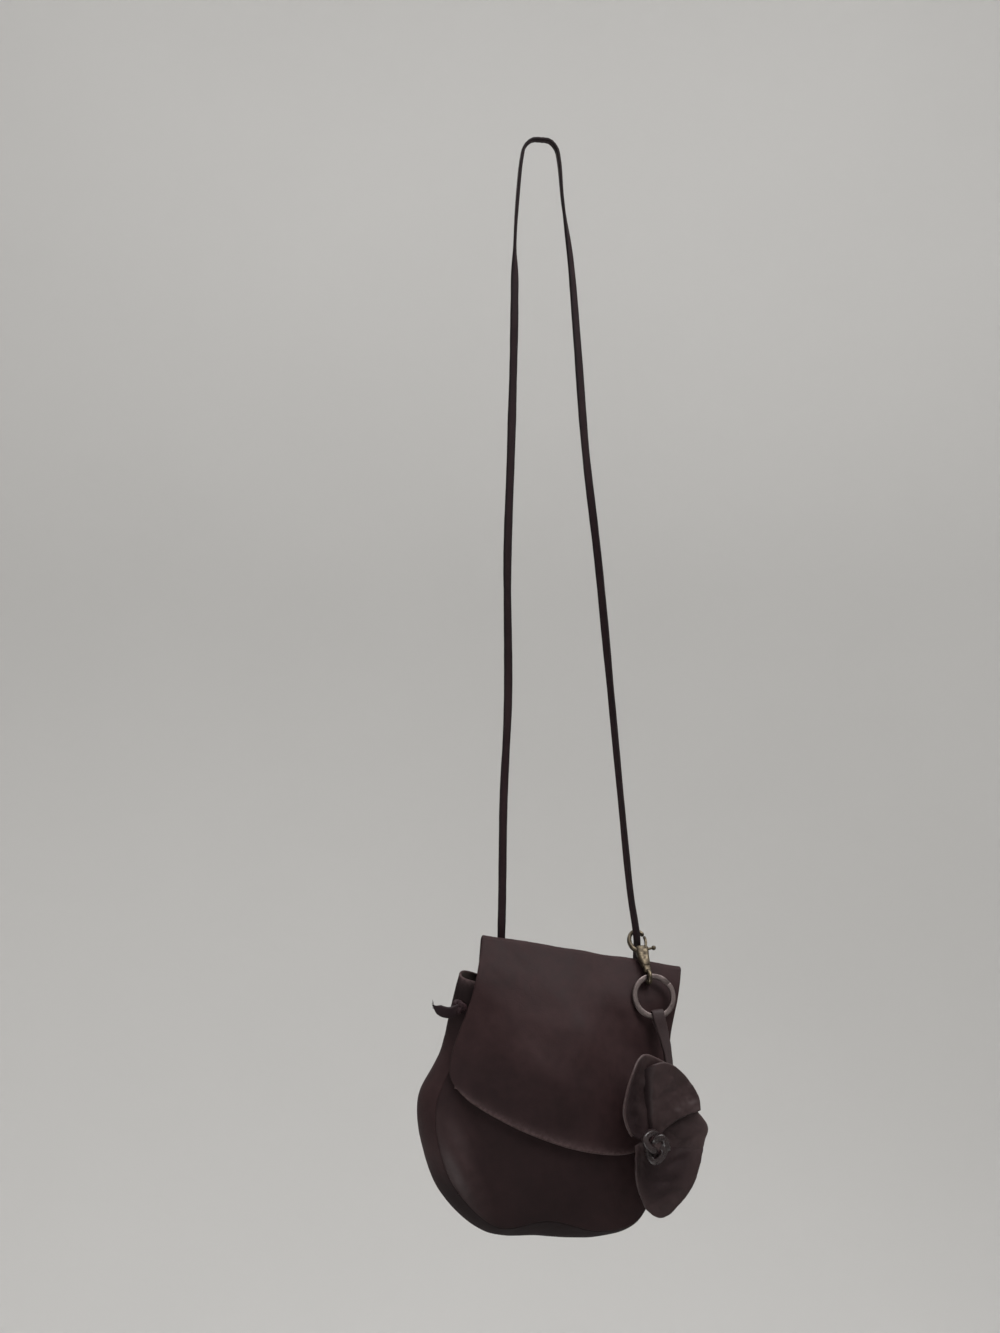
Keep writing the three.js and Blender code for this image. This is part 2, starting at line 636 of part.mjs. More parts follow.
// Part of the claw's oval ring, drawn as an outer arc and an inner arc between their own end angles
function clawArc(outerEnds, innerEnds, inset) {
  const shape = new THREE.Shape();
  const { x, z, outerX, outerZ, innerX, innerZ } = CLAW;
  const [outerFrom, outerTo] = outerEnds.map(radians);
  const [innerFrom, innerTo] = innerEnds.map(radians);
  shape.absellipse(x, z, outerX - inset, outerZ - inset, outerFrom, outerTo, false, 0);
  shape.absellipse(x, z, innerX + inset, innerZ + inset, innerTo, innerFrom, true, 0);
  shape.closePath();
  return shape;
}

function pinAt(x, z, radius, length, sides) {
  return new THREE.CylinderGeometry(radius, radius, length, sides).translate(x, 0, z);
}

function claspBodyGeometry() {
  const outline = new THREE.Shape([
    new THREE.Vector2(CLASP_BODY.x - CLASP_BODY.lowHalf, CLASP_BODY.bottom),
    new THREE.Vector2(CLASP_BODY.x + CLASP_BODY.lowHalf, CLASP_BODY.bottom),
    new THREE.Vector2(CLASP_BODY.x + CLASP_BODY.highHalf, CLASP_BODY.top - 4),
    new THREE.Vector2(CLASP_BODY.x + CLASP_BODY.highHalf, CLASP_BODY.top - 1),
    new THREE.Vector2(CLASP_BODY.x + CLASP_BODY.highHalf - 1.5, CLASP_BODY.top),
    new THREE.Vector2(CLASP_BODY.x - CLASP_BODY.highHalf, CLASP_BODY.top),
    new THREE.Vector2(CLASP_BODY.x - CLASP_BODY.highHalf - 1, CLASP_BODY.top - 5),
  ]);
  const block = plate(outline, CLASP_BODY.thickness, CURVE_SEGMENTS);
  const { from, outerTo, innerTo } = CLAW_END;
  const claw = plate(clawArc([outerTo, from + 360], [innerTo, from + 360], 0), CLAW.thickness, 20);
  const inside = new THREE.Shape();
  inside.absellipse(CLAW.x, CLAW.z, CLAW.innerX, CLAW.innerZ, 0, 2 * Math.PI, false, 0);
  const opening = plate(inside, CUTTER_LENGTH, 24);
  const neckLength = CLASP_NECK.top - CLASP_NECK.bottom;
  const neck = new THREE.CylinderGeometry(CLASP_NECK.radius, CLASP_NECK.radius, neckLength, 10)
    .rotateX(Math.PI / 2).translate(0, 0, CLASP_NECK.bottom + neckLength / 2);
  const eye = new THREE.TorusGeometry(EYE_RING.hole + EYE_RING.wire, EYE_RING.wire, 8, 18)
    .rotateY(Math.PI / 2);
  const slotWidth = CLASP_BODY.highHalf + CLAW.outerX;
  const slot = new THREE.BoxGeometry(slotWidth, GATE.slot, 2 * GATE.boss + 6)
    .translate(PIVOT.x - GATE.boss - GATE.clearance + slotWidth / 2, 0, PIVOT.z + 3 - GATE.clearance);
  const whole = join(block, claw, neck, eye);
  return join(cut(whole, opening, slot), pinAt(PIVOT.x, PIVOT.z, GATE.pin, CLASP_BODY.thickness - 0.4, 10));
}

function claspGateGeometry() {
  const { from, outerTo, innerTo, inset } = GATE_ARM;
  const arm = plate(clawArc([from, outerTo], [from, innerTo], inset), GATE.thickness, CURVE_SEGMENTS);
  const boss = pinAt(PIVOT.x, PIVOT.z, GATE.boss, GATE.thickness, 14);
  const armLength = NUB.x - PIVOT.x;
  const trigger = new THREE.CylinderGeometry(NUB.arm, NUB.arm, armLength, 8).rotateZ(Math.PI / 2)
    .rotateY(-Math.atan2(NUB.z - PIVOT.z, armLength))
    .translate((NUB.x + PIVOT.x) / 2, 0, (NUB.z + PIVOT.z) / 2);
  const nub = new THREE.SphereGeometry(NUB.radius, 10, 8).translate(NUB.x, 0, NUB.z);
  return cut(join(arm, boss, trigger, nub), pinAt(PIVOT.x, PIVOT.z, GATE.hole, CUTTER_LENGTH, 12));
}

const clasp = new THREE.Group();
clasp.position.copy(EYE);
clasp.rotation.x = -CLASP_LEAN;
clasp.add(
  piece("clasp_body", claspBodyGeometry(), BRASS_FINISH),
  piece("clasp_gate", claspGateGeometry(), BRASS_FINISH),
);

// The charm

// It hangs from the clasp's eye and leans out over the flap. Its own z runs up along the hang.
const CHARM_LEAN = radians(24);
const RING = { radius: 13.9, band: 3.6, thickness: 2.4, corner: 0.6, segments: 32, offset: radians(9.5) };
const ringCentre = point(RING.radius * Math.sin(RING.offset), 0, -RING.radius * Math.cos(RING.offset));

function splitRingGeometry() {
  const [inner, outer] = [RING.radius - RING.band / 2, RING.radius + RING.band / 2];
  const [half, corner] = [RING.thickness / 2, RING.corner];
  const section = [
    [inner, half - corner], [inner, corner - half], [inner + corner, -half], [outer - corner, -half],
    [outer, corner - half], [outer, half - corner], [outer - corner, half], [inner + corner, half],
    [inner, half - corner],
  ].map(([r, y]) => new THREE.Vector2(r, y));
  return new THREE.LatheGeometry(section, RING.segments).translate(...ringCentre.toArray());
}

// The flower's middle and lean, and its petals. A petal's root lies round the stem between two
// directions, which turn from the right towards the top, and each row of its rim gives a direction,
// the distance from the stem and how far the rim is lifted to the front.
const FLOWER_CENTRE = point(-8.6, 5, -107.5);
const FLOWER_LEAN = radians(6);
const STEM = { radius: 2.6, back: 2.9, front: 9.6, sides: 10 };
const BACK_LAYER = 0.6;
const FRONT_LAYER = 4.2;
const PETALS = [
  {
    layer: BACK_LAYER,
    root: { from: 98, to: 186 },
    rim: [
      { turn: 77, reach: 50, lift: 1 },
      { turn: 87, reach: 54, lift: 4 },
      { turn: 95, reach: 57, lift: 7 },
      { turn: 101, reach: 55, lift: 10 },
      { turn: 110, reach: 48, lift: 13 },
      { turn: 121, reach: 40, lift: 14 },
      { turn: 133, reach: 33, lift: 14 },
      { turn: 146, reach: 24.5, lift: 12 },
      { turn: 160, reach: 16.5, lift: 6 },
    ],
  },
  {
    layer: FRONT_LAYER,
    root: { from: 48, to: 96 },
    rim: [
      { turn: 30, reach: 37.8, lift: 0 },
      { turn: 41, reach: 42.1, lift: -1 },
      { turn: 54.5, reach: 45.2, lift: -1 },
      { turn: 65.5, reach: 48.3, lift: 0.5 },
      { turn: 76, reach: 51, lift: 2.5 },
      { turn: 84, reach: 51.5, lift: 4 },
      { turn: 91, reach: 48, lift: 5 },
    ],
  },
  {
    layer: BACK_LAYER,
    root: { from: -50, to: 92 },
    rim: [
      { turn: -43, reach: 32, lift: -2 },
      { turn: -18, reach: 34.8, lift: -1 },
      { turn: -3, reach: 36, lift: 1 },
      { turn: 10, reach: 38.5, lift: 2 },
      { turn: 27, reach: 36, lift: 0 },
    ],
  },
  {
    layer: FRONT_LAYER,
    root: { from: -182, to: -10 },
    rim: [
      { turn: -168, reach: 13, lift: 0 },
      { turn: -150, reach: 15, lift: 1 },
      { turn: -127, reach: 21.5, lift: 1.5 },
      { turn: -106, reach: 36.5, lift: -0.5 },
      { turn: -95, reach: 46.5, lift: -3 },
      { turn: -85, reach: 51.5, lift: -5 },
      { turn: -77, reach: 50.5, lift: -5 },
      { turn: -64, reach: 45, lift: -3 },
      { turn: -50, reach: 41, lift: -1 },
      { turn: -30, reach: 36.5, lift: 0 },
      { turn: -9, reach: 35, lift: 1 },
    ],
  },
];
const PETAL_GRID = { rows: 7, columns: 12 };
const PETAL_ROOT = 3;
const CRINKLE = { height: 0.7, across: 9, along: 5 };
const LIFT_POWER = 1.9;

function petalGeometry({ layer, root, rim }) {
  const outer = grid(PETAL_GRID.rows, PETAL_GRID.columns, (b, a) => {
    const place = a * (rim.length - 1);
    const rootTurn = THREE.MathUtils.lerp(root.from, root.to, a);
    const turn = radians(THREE.MathUtils.lerp(rootTurn, alongRows(rim, "turn", place), b));
    const out = THREE.MathUtils.lerp(PETAL_ROOT, alongRows(rim, "reach", place), b);
    const crinkle = CRINKLE.height * b * Math.sin(CRINKLE.across * a + CRINKLE.along * b + root.from);
    const height = layer + alongRows(rim, "lift", place) * b ** LIFT_POWER + crinkle;
    return point(out * Math.cos(turn), -height, out * Math.sin(turn));
  });
  return wall(outer, insetGrid(outer, gridNormals(outer), PETAL_LEATHER));
}

// The centre: a lace tied in a knot, on a stem that passes between the petals to the thong
const CENTRE_KNOT = { radius: 5.4, lace: 2.2, steps: 36, sides: 6, heart: 4.6, turn: radians(18) };

function flowerKnotGeometry() {
  const { radius, lace, steps, sides, heart, turn } = CENTRE_KNOT;
  const knot = new THREE.TorusKnotGeometry(radius, lace, steps, sides, 2, 3).rotateZ(turn)
    .rotateX(Math.PI / 2).translate(0, -STEM.front, 0);
  const core = new THREE.SphereGeometry(heart, 8, 6).translate(0, -STEM.front, 0);
  const stem = new THREE.CylinderGeometry(STEM.radius, STEM.radius, STEM.front + STEM.back, STEM.sides)
    .translate(0, (STEM.back - STEM.front) / 2, 0);
  return join(knot, core, stem);
}

// The thong doubles round the ring's lower side and runs down behind the petals to the stem.
// A way's forward and up are measured from the ring's wire. Below the ring the thong sways to the
// right and narrows towards the flower, and its free end lies on it down to the petals.
const LOOP_TURN = radians(5);
const RING_CLEARANCE = { over: 1.5, beside: 0.5 };
const THONG_NARROW = 0.55;
const THONG_GAP = 0.3;

function thongGeometry(flower) {
  const out = point(Math.sin(LOOP_TURN), 0, -Math.cos(LOOP_TURN));
  const across = point(-out.z, 0, out.x);
  const wire = ringCentre.clone().addScaledVector(out, RING.radius);
  const half = THONG.thickness / 2;
  const over = RING.band / 2 + half + RING_CLEARANCE.over;
  const beside = RING.thickness / 2 + half + RING_CLEARANCE.beside;
  const loopWay = (forward, up, breadth, sway = 0) => ({
    place: wire.clone().addScaledVector(out, -up).addScaledVector(across, sway).add(point(0, -forward, 0)),
    side: across,
    breadth,
  });
  const flowerWay = (x, z) => ({
    place: point(x, STEM.back + THONG_GAP + half, z).applyMatrix4(flower.matrix),
    side: point(1, 0, 0),
    breadth: THONG_NARROW,
  });
  return ribbonThrough([
    loopWay(1.6, -38, THONG_NARROW, 0.4),
    loopWay(1.3, -28, 0.62, 1.4),
    loopWay(1.3, -18, 0.78, 1.5),
    loopWay(1.6, -9, 0.92, 0.9),
    loopWay(beside, -0.5, 1),
    loopWay(beside * 0.8, over * 0.76, 1),
    loopWay(0, over, 1),
    loopWay(-beside * 0.8, over * 0.76, 1),
    loopWay(-beside, -0.5, 1),
    loopWay(-1.4, -9, 0.92, 0.9),
    loopWay(-1.2, -18, 0.78, 1.5),
    loopWay(-1.6, -28, 0.62, 1.4),
    flowerWay(9, 28),
    flowerWay(2, 6),
    flowerWay(-1, -4),
  ], THONG, 5, 3);
}

const flower = new THREE.Group();
flower.position.copy(FLOWER_CENTRE);
flower.rotation.x = CHARM_LEAN - FLOWER_LEAN;
flower.updateMatrix();
flower.add(
  ...PETALS.map((row, i) => piece(`petal_${i + 1}`, petalGeometry(row), CHARM_FINISH)),
  piece("flower_knot", flowerKnotGeometry(), CHARM_FINISH),
);
const charm = new THREE.Group();
charm.position.copy(EYE);
charm.rotation.x = -CHARM_LEAN;
charm.add(
  piece("split_ring", splitRingGeometry(), NICKEL_FINISH),
  piece("charm_thong", thongGeometry(flower), CHARM_FINISH),
  flower,
);

const crossbodyBag = new THREE.Group();
crossbodyBag.add(bag, piece("strap", strapGeometry(), STRAP_FINISH), clasp, charm);

export default crossbodyBag;
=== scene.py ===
"""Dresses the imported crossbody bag: a soft leather pouch with a flap, its lace strap and a flower charm.

Lengths are millimetres until a mesh is made. The frame is the part's own: +Z up, front towards -Y.
"""

import logging
from dataclasses import dataclass
from enum import Enum
from typing import Callable, Sequence

import bpy
import numpy as np
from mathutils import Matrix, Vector


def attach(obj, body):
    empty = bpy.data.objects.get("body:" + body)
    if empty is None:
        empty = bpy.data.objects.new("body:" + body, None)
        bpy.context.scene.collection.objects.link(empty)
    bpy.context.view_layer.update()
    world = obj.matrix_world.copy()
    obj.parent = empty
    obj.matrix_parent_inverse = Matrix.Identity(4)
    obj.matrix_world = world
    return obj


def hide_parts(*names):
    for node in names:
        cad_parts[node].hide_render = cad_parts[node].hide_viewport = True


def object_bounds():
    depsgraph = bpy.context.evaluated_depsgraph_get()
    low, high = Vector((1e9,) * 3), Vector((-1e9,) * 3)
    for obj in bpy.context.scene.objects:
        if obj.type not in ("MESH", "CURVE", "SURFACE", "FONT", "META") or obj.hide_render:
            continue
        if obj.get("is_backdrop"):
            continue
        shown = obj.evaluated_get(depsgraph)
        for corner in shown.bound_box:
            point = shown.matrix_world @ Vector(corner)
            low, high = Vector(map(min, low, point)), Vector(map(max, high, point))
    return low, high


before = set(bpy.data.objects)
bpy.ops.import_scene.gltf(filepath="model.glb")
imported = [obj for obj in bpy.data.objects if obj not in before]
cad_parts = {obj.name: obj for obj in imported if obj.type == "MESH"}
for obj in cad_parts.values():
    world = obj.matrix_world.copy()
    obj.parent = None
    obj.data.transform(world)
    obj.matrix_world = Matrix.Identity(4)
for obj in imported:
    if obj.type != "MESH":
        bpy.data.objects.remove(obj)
CAD_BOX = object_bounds()

log = logging.getLogger("crossbody_bag")
Array = np.ndarray
Colour = tuple[float, float, float]
MM = 0.001

# Directions of the part's frame
RIGHT, BACK, UP = np.eye(3)


def unit(vectors: Array) -> Array:
    """Vectors made one long."""
    return vectors / np.maximum(np.linalg.norm(vectors, axis=-1, keepdims=True), 1e-9)


def points(x: Array, y: Array, z: Array) -> Array:
    """Points stacked from their coordinates, spread to one common shape."""
    return np.stack(np.broadcast_arrays(x, y, z), axis=-1).astype(float)


def smooth(low: float, high: float, value: Array) -> Array:
    """A soft step from 0 at low to 1 at high."""
    t = np.clip((value - low) / (high - low), 0.0, 1.0)
    return t * t * (3.0 - 2.0 * t)


def circle(count: int) -> Array:
    """Even places round a circle of radius 1, anticlockwise."""
    turn = 2.0 * np.pi * np.arange(count) / count
    return np.stack([np.cos(turn), np.sin(turn)], axis=-1)


def squared(turn: Array, powers: tuple[float, float]) -> Array:
    """Places round a squared circle: cosine and sine of each turn raised to powers below 1."""
    c, s = np.cos(turn), np.sin(turn)
    return np.stack([np.sign(c) * np.abs(c) ** powers[0], np.sign(s) * np.abs(s) ** powers[1]], axis=-1)


def round_end(share: Array, length: float, least: float) -> Array:
    """How full a rod is near its end at share 0: a quarter round over a length, with a least value."""
    return np.sqrt(np.clip(1.0 - (1.0 - np.minimum(share / length, 1.0)) ** 2, least, 1.0))


def run(surface: Array, axis: int) -> Array:
    """Length travelled over a grid of points along one of its axes, from its first row or column."""
    steps = np.linalg.norm(np.diff(surface, axis=axis), axis=-1)
    width = [(0, 0), (0, 0)]
    width[axis] = (1, 0)
    return np.pad(np.cumsum(steps, axis=axis), width)


def shares(count: int) -> Array:
    """Even shares from 0 to 1, with one more very close to each end to keep a seam's shading crisp."""
    close = 3e-4
    even = np.linspace(0.0, 1.0, count)
    return np.concatenate([[0.0, close], even[1:-1], [1.0 - close, 1.0]])


def undulate(across: Array, along: Array, seed: int, longest: float, shortest: float) -> Array:
    """Soft unevenness of about unit height: a sum of plane waves with seeded directions and phases.

    Args:
        across: First coordinate of the places on the surface.
        along: Second coordinate of the places.
        seed: Seed of the waves.
        longest: Longest wavelength.
        shortest: Shortest wavelength.

    Returns:
        The height at each place.
    """
    draw = np.random.default_rng(seed)
    count = 14
    turn = draw.uniform(0.0, np.pi, count)
    pace = 2.0 * np.pi / draw.uniform(shortest, longest, count)
    phase = draw.uniform(0.0, 2.0 * np.pi, count)
    way = np.multiply.outer(across, np.cos(turn)) + np.multiply.outer(along, np.sin(turn))
    return np.sin(way * pace + phase).sum(axis=-1) / np.sqrt(count)


class Table:
    """Rows of numbers under named columns, read smoothly between the rows."""

    def __init__(self, names: str, *rows: Sequence[float]) -> None:
        """Keeps each column as an array under its name."""
        self.columns = dict(zip(names.split(), np.array(rows, dtype=float).T))

    def __getitem__(self, name: str) -> Array:
        """One whole column."""
        return self.columns[name]

    def __len__(self) -> int:
        """How many rows there are."""
        return len(next(iter(self.columns.values())))

    def along(self, name: str, place: Array) -> Array:
        """Reads a column at real row numbers, by a cubic through the four rows around each.

        Args:
            name: The column.
            place: Row numbers, which may lie between rows.

        Returns:
            The column's value at each place.
        """
        values = self.columns[name]
        last = len(values) - 1
        row = np.clip(np.floor(place), 0, last - 1).astype(int)
        t = place - row
        a, b, c, d = (values[np.clip(row + k, 0, last)] for k in (-1, 0, 1, 2))
        return b + 0.5 * t * (c - a + t * (2 * a - 5 * b + 4 * c - d + t * (3 * (b - c) + d - a)))

    def places(self, names: str, place: Array) -> Array:
        """Reads several columns at real row numbers, stacked into places."""
        return np.stack([self.along(name, place) for name in names.split()], axis=-1)

    def at(self, name: str, drop: Array) -> Array:
        """Reads a column at a drop, by cubics whose slopes come from the rows on either side.

        Args:
            name: The column.
            drop: Values of the column named drop.

        Returns:
            The column's value at each drop.
        """
        keys, values = self.columns["drop"], self.columns[name]
        last = len(keys) - 1
        low, high = np.maximum(np.arange(last + 1) - 1, 0), np.minimum(np.arange(last + 1) + 1, last)
        slopes = (values[high] - values[low]) / (keys[high] - keys[low])
        i = np.clip(np.searchsorted(keys, drop, side="right") - 1, 0, last - 1)
        span = keys[i + 1] - keys[i]
        t = (drop - keys[i]) / span
        p, q, m, n = values[i], values[i + 1], slopes[i] * span, slopes[i + 1] * span
        return p + t * (m + t * (3 * (q - p) - 2 * m - n + t * (2 * (p - q) + m + n)))


def humps(table: Table, second: str, x: Array, y: Array) -> Array:
    """Height at places of a surface: smooth humps and troughs, one along each line of a table.

    Args:
        table: The lines, each with its middle, turn, length, width and height.
        second: Name of the column with the middle's second coordinate.
        x: First coordinate of the places.
        y: Second coordinate of the places.

    Returns:
        The sum of the humps at each place.
    """
    dx, dy = np.asarray(x)[..., None] - table["x"], np.asarray(y)[..., None] - table[second]
    c, s = np.cos(np.radians(table["turn"])), np.sin(np.radians(table["turn"]))
    along = (dx * c + dy * s) / table["length"]
    across = (dy * c - dx * s) / table["width"]
    return (table["height"] * np.exp(-along * along - across * across)).sum(axis=-1)


class Axis(Enum):
    """The axis that a place is turned about."""

    X = 0
    Y = 1


@dataclass(frozen=True)
class Place:
    """Where a sub-assembly's own axes lie: a turn about one axis, then a shift."""

    origin: Array
    matrix: Array

    @classmethod
    def turned(cls, origin: Sequence[float], axis: Axis, degrees: float) -> "Place":
        """A place at an origin, turned about an axis by the right-hand rule."""
        c, s = np.cos(np.radians(degrees)), np.sin(np.radians(degrees))
        about_x = [[1, 0, 0], [0, c, -s], [0, s, c]]
        about_y = [[c, 0, s], [0, 1, 0], [-s, 0, c]]
        return cls(np.array(origin, dtype=float), np.array(about_x if axis is Axis.X else about_y))

    def out(self, local: Array) -> Array:
        """Points of the part's frame from points of this place."""
        return np.asarray(local, dtype=float) @ self.matrix.T + self.origin

    def aim(self, direction: Sequence[float]) -> Array:
        """A direction of this place in the part's frame."""
        return np.asarray(direction, dtype=float) @ self.matrix.T

    def holding(self, inner: "Place") -> "Place":
        """The place of something placed inside this one."""
        return Place(self.out(inner.origin), self.matrix @ inner.matrix)


class Skin:
    """Points, faces and named values of one piece while it is put together."""

    def __init__(self) -> None:
        """Starts empty."""
        self.points: list[Array] = []
        self.faces: list[list[int]] = []
        self.values: dict[str, list[Array]] = {}
        self.count = 0

    def add(self, places: Array, faces: list[list[int]], **values: Array) -> None:
        """Adds a closed shell.

        Args:
            places: Its points, one a row.
            faces: Its faces, as indices into those points.
            values: Named values, one for each point. A name that is left out is 0 there.
        """
        for name in set(values) | set(self.values):
            column = self.values.setdefault(name, [np.zeros(self.count)])
            column.append(np.asarray(values.get(name, np.zeros(len(places))), dtype=float))
        self.faces += [[self.count + i for i in face] for face in faces]
        self.points.append(places)
        self.count += len(places)

    def loft(self, rings: Array, closed: bool = False, **values: Array) -> None:
        """Adds a skin through rings of points, with flat ends unless the rings close on themselves.

        Args:
            rings: Points by ring and by place round the ring, anticlockwise seen against the way.
            closed: Whether the last ring leads on to the first.
            values: Named values by ring and by place.
        """
        count, around = rings.shape[:2]
        index = np.arange(count * around).reshape(count, around)
        here = index if closed else index[:-1]
        ahead = np.roll(index, -1, axis=0) if closed else index[1:]
        quads = np.stack([here, np.roll(here, -1, 1), np.roll(ahead, -1, 1), ahead], axis=-1)
        faces = quads.reshape(-1, 4).tolist()
        if not closed:
            faces += [index[0, ::-1].tolist(), index[-1].tolist()]
        spread = {name: np.broadcast_to(value, (count, around)).ravel() for name, value in values.items()}
        self.add(rings.reshape(-1, 3), faces, **spread)

    def make(self, name: str, place: Place | None = None) -> bpy.types.Object:
        """Makes the mesh object, smooth shaded, with its place in its mesh.

        Args:
            name: The object's name.
            place: Where the points' own axes lie, if not in the part's frame.

        Returns:
            The new object.
        """
        whole = np.concatenate(self.points)
        if place is not None:
            whole = place.out(whole)
        mesh = bpy.data.meshes.new(name)
        mesh.from_pydata((whole * MM).tolist(), [], self.faces)
        mesh.polygons.foreach_set("use_smooth", np.ones(len(mesh.polygons), dtype=bool))
        for key, columns in self.values.items():
            layer = mesh.attributes.new(key, "FLOAT", "POINT")
            layer.data.foreach_set("value", np.concatenate(columns).astype(np.float32))
        mesh.update()
        made = bpy.data.objects.new(name, mesh)
        bpy.context.scene.collection.objects.link(made)
        return made


def dress(piece: bpy.types.Object, finish: "Finish", body: str, node: str) -> bpy.types.Object:
    """Gives a piece its material and its body, and hides the solid that it stands for.

    Args:
        piece: The object.
        finish: Its finish.
        body: The body that it moves with.
        node: The solid that it replaces.

    Returns:
        The same object.
    """
    piece.data.materials.append(finish.material())
    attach(piece, body)
    finish.slot
    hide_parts(node)
    return piece


class Value:
    """A number socket of a shader that takes part in Python expressions."""

    def __init__(self, shader: "Shader", socket: bpy.types.NodeSocket) -> None:
        """Wraps a socket of a shader."""
        self.shader = shader
        self.socket = socket

    def math(self, operation: str, *operands: "Value | float") -> "Value":
        """A Math node on the given operands."""
        inputs = dict(enumerate(operands))
        return Value(self.shader, self.shader.node("Math", {"operation": operation}, inputs).outputs[0])

    def __add__(self, other: "Value | float") -> "Value":
        """Sum."""
        return self.math("ADD", self, other)

    def __sub__(self, other: "Value | float") -> "Value":
        """Difference."""
        return self.math("SUBTRACT", self, other)

    def __rsub__(self, other: float) -> "Value":
        """Difference from a number on the left."""
        return self.math("SUBTRACT", other, self)

    def __mul__(self, other: "Value | float") -> "Value":
        """Product."""
        return self.math("MULTIPLY", self, other)

    __radd__ = __add__
    __rmul__ = __mul__

    def step(self, low: float, high: float) -> "Value":
        """A soft step from 0 at low to 1 at high."""
        settings = {"interpolation_type": "SMOOTHSTEP"}
        node = self.shader.node("MapRange", settings, {"Value": self, "From Min": low, "From Max": high})
        return Value(self.shader, node.outputs[0])


class Shader:
    """One material's nodes and the ways to add to them."""

    def __init__(self, name: str) -> None:
        """Starts a material with a principled surface."""
        self.material = bpy.data.materials.new(name)
        self.material.use_nodes = True
        self.tree = self.material.node_tree
        self.tree.nodes.clear()
        self.surface = self.node("BsdfPrincipled")
        self.node("OutputMaterial", inputs={"Surface": self.surface.outputs[0]})
        self.places = self.node("TexCoord").outputs["Object"]

    def node(self, kind: str, settings: dict | None = None, inputs: dict | None = None) -> bpy.types.Node:
        """Adds a node.

        Args:
            kind: The node's type, without its prefix.
            settings: Properties, which are set first. The key stops gives a ramp's positions and colours.
            inputs: Values or links of sockets, by name or number.

        Returns:
            The node.
        """
        made = self.tree.nodes.new("ShaderNode" + kind)
        for key, value in (settings or {}).items():
            if key == "stops":
                self._set_stops(made.color_ramp.elements, value)
            else:
                setattr(made, key, value)
        self.feed(made, inputs or {})
        return made

    def feed(self, node: bpy.types.Node, inputs: dict) -> None:
        """Sets or links sockets of a node."""
        for key, value in inputs.items():
            socket = node.inputs[key]
            source = value.socket if isinstance(value, Value) else value
            if isinstance(source, bpy.types.NodeSocket):
                self.tree.links.new(source, socket)
            else:
                socket.default_value = source

    @staticmethod
    def _set_stops(elements: bpy.types.ColorRampElements, stops: Sequence[tuple[float, Colour]]) -> None:
        """Sets a ramp's stops."""
        while len(elements) < len(stops):
            elements.new(1.0)
        for element, (position, colour) in zip(elements, stops):
            element.position = position
            element.color = (*colour, 1.0)

    def noise(self, size_mm: float, detail: float, stretch: Colour = (1.0, 1.0, 1.0)) -> Value:
        """Cloudy noise whose patches are about the given size.

        Args:
            size_mm: Size of a patch.
            detail: Octaves of finer noise in it.
            stretch: How much faster it changes along each axis.

        Returns:
            The noise, from 0 to 1.
        """
        mapped = self.node("Mapping", {"vector_type": "POINT"}, {"Vector": self.places, "Scale": stretch})
        inputs = {"Vector": mapped.outputs[0], "Scale": 1.0 / (size_mm * MM), "Detail": detail}
        return Value(self, self.node("TexNoise", inputs=inputs).outputs[0])

    def cells(self, size_mm: float, feature: str) -> Value:
        """A net of cells of about the given size: the distance to a cell's middle or to its border."""
        inputs = {"Vector": self.places, "Scale": 1.0 / (size_mm * MM)}
        return Value(self, self.node("TexVoronoi", {"feature": feature}, inputs).outputs["Distance"])

    def worn(self, name: str) -> Value:
        """A named value of the piece's own mesh."""
        return Value(self, self.node("Attribute", {"attribute_name": name}).outputs["Fac"])

    def ramp(self, value: Value, stops: Sequence[tuple[float, Colour]]) -> bpy.types.NodeSocket:
        """Colours by a value."""
        return self.node("ValToRGB", {"stops": stops}, {"Fac": value}).outputs[0]

    def mix(self, share: Value, first: bpy.types.NodeSocket, second: Colour) -> bpy.types.NodeSocket:
        """A colour that turns into another by a share."""
        made = self.node("Mix", {"data_type": "RGBA"}, {"Factor": share})
        self.feed(made, {6: first, 7: (*second, 1.0)})
        return made.outputs[2]

    def relief(self, height_mm: Value) -> None:
        """Small relief of the surface, given in millimetres."""
        bump = self.node("Bump", inputs={"Height": height_mm, "Distance": MM, "Strength": 1.0})
        self.feed(self.surface, {"Normal": bump.outputs[0]})


class Finish:
    """A finish that makes its material once."""

    name: str
    slot: str
    made: dict[str, bpy.types.Material] = {}

    def material(self) -> bpy.types.Material:
        """The finish's material, made at its first use."""
        if self.name not in Finish.made:
            Finish.made[self.name] = self.shade()
        return Finish.made[self.name]

    def shade(self) -> bpy.types.Material:
        """Makes the material."""
        raise NotImplementedError


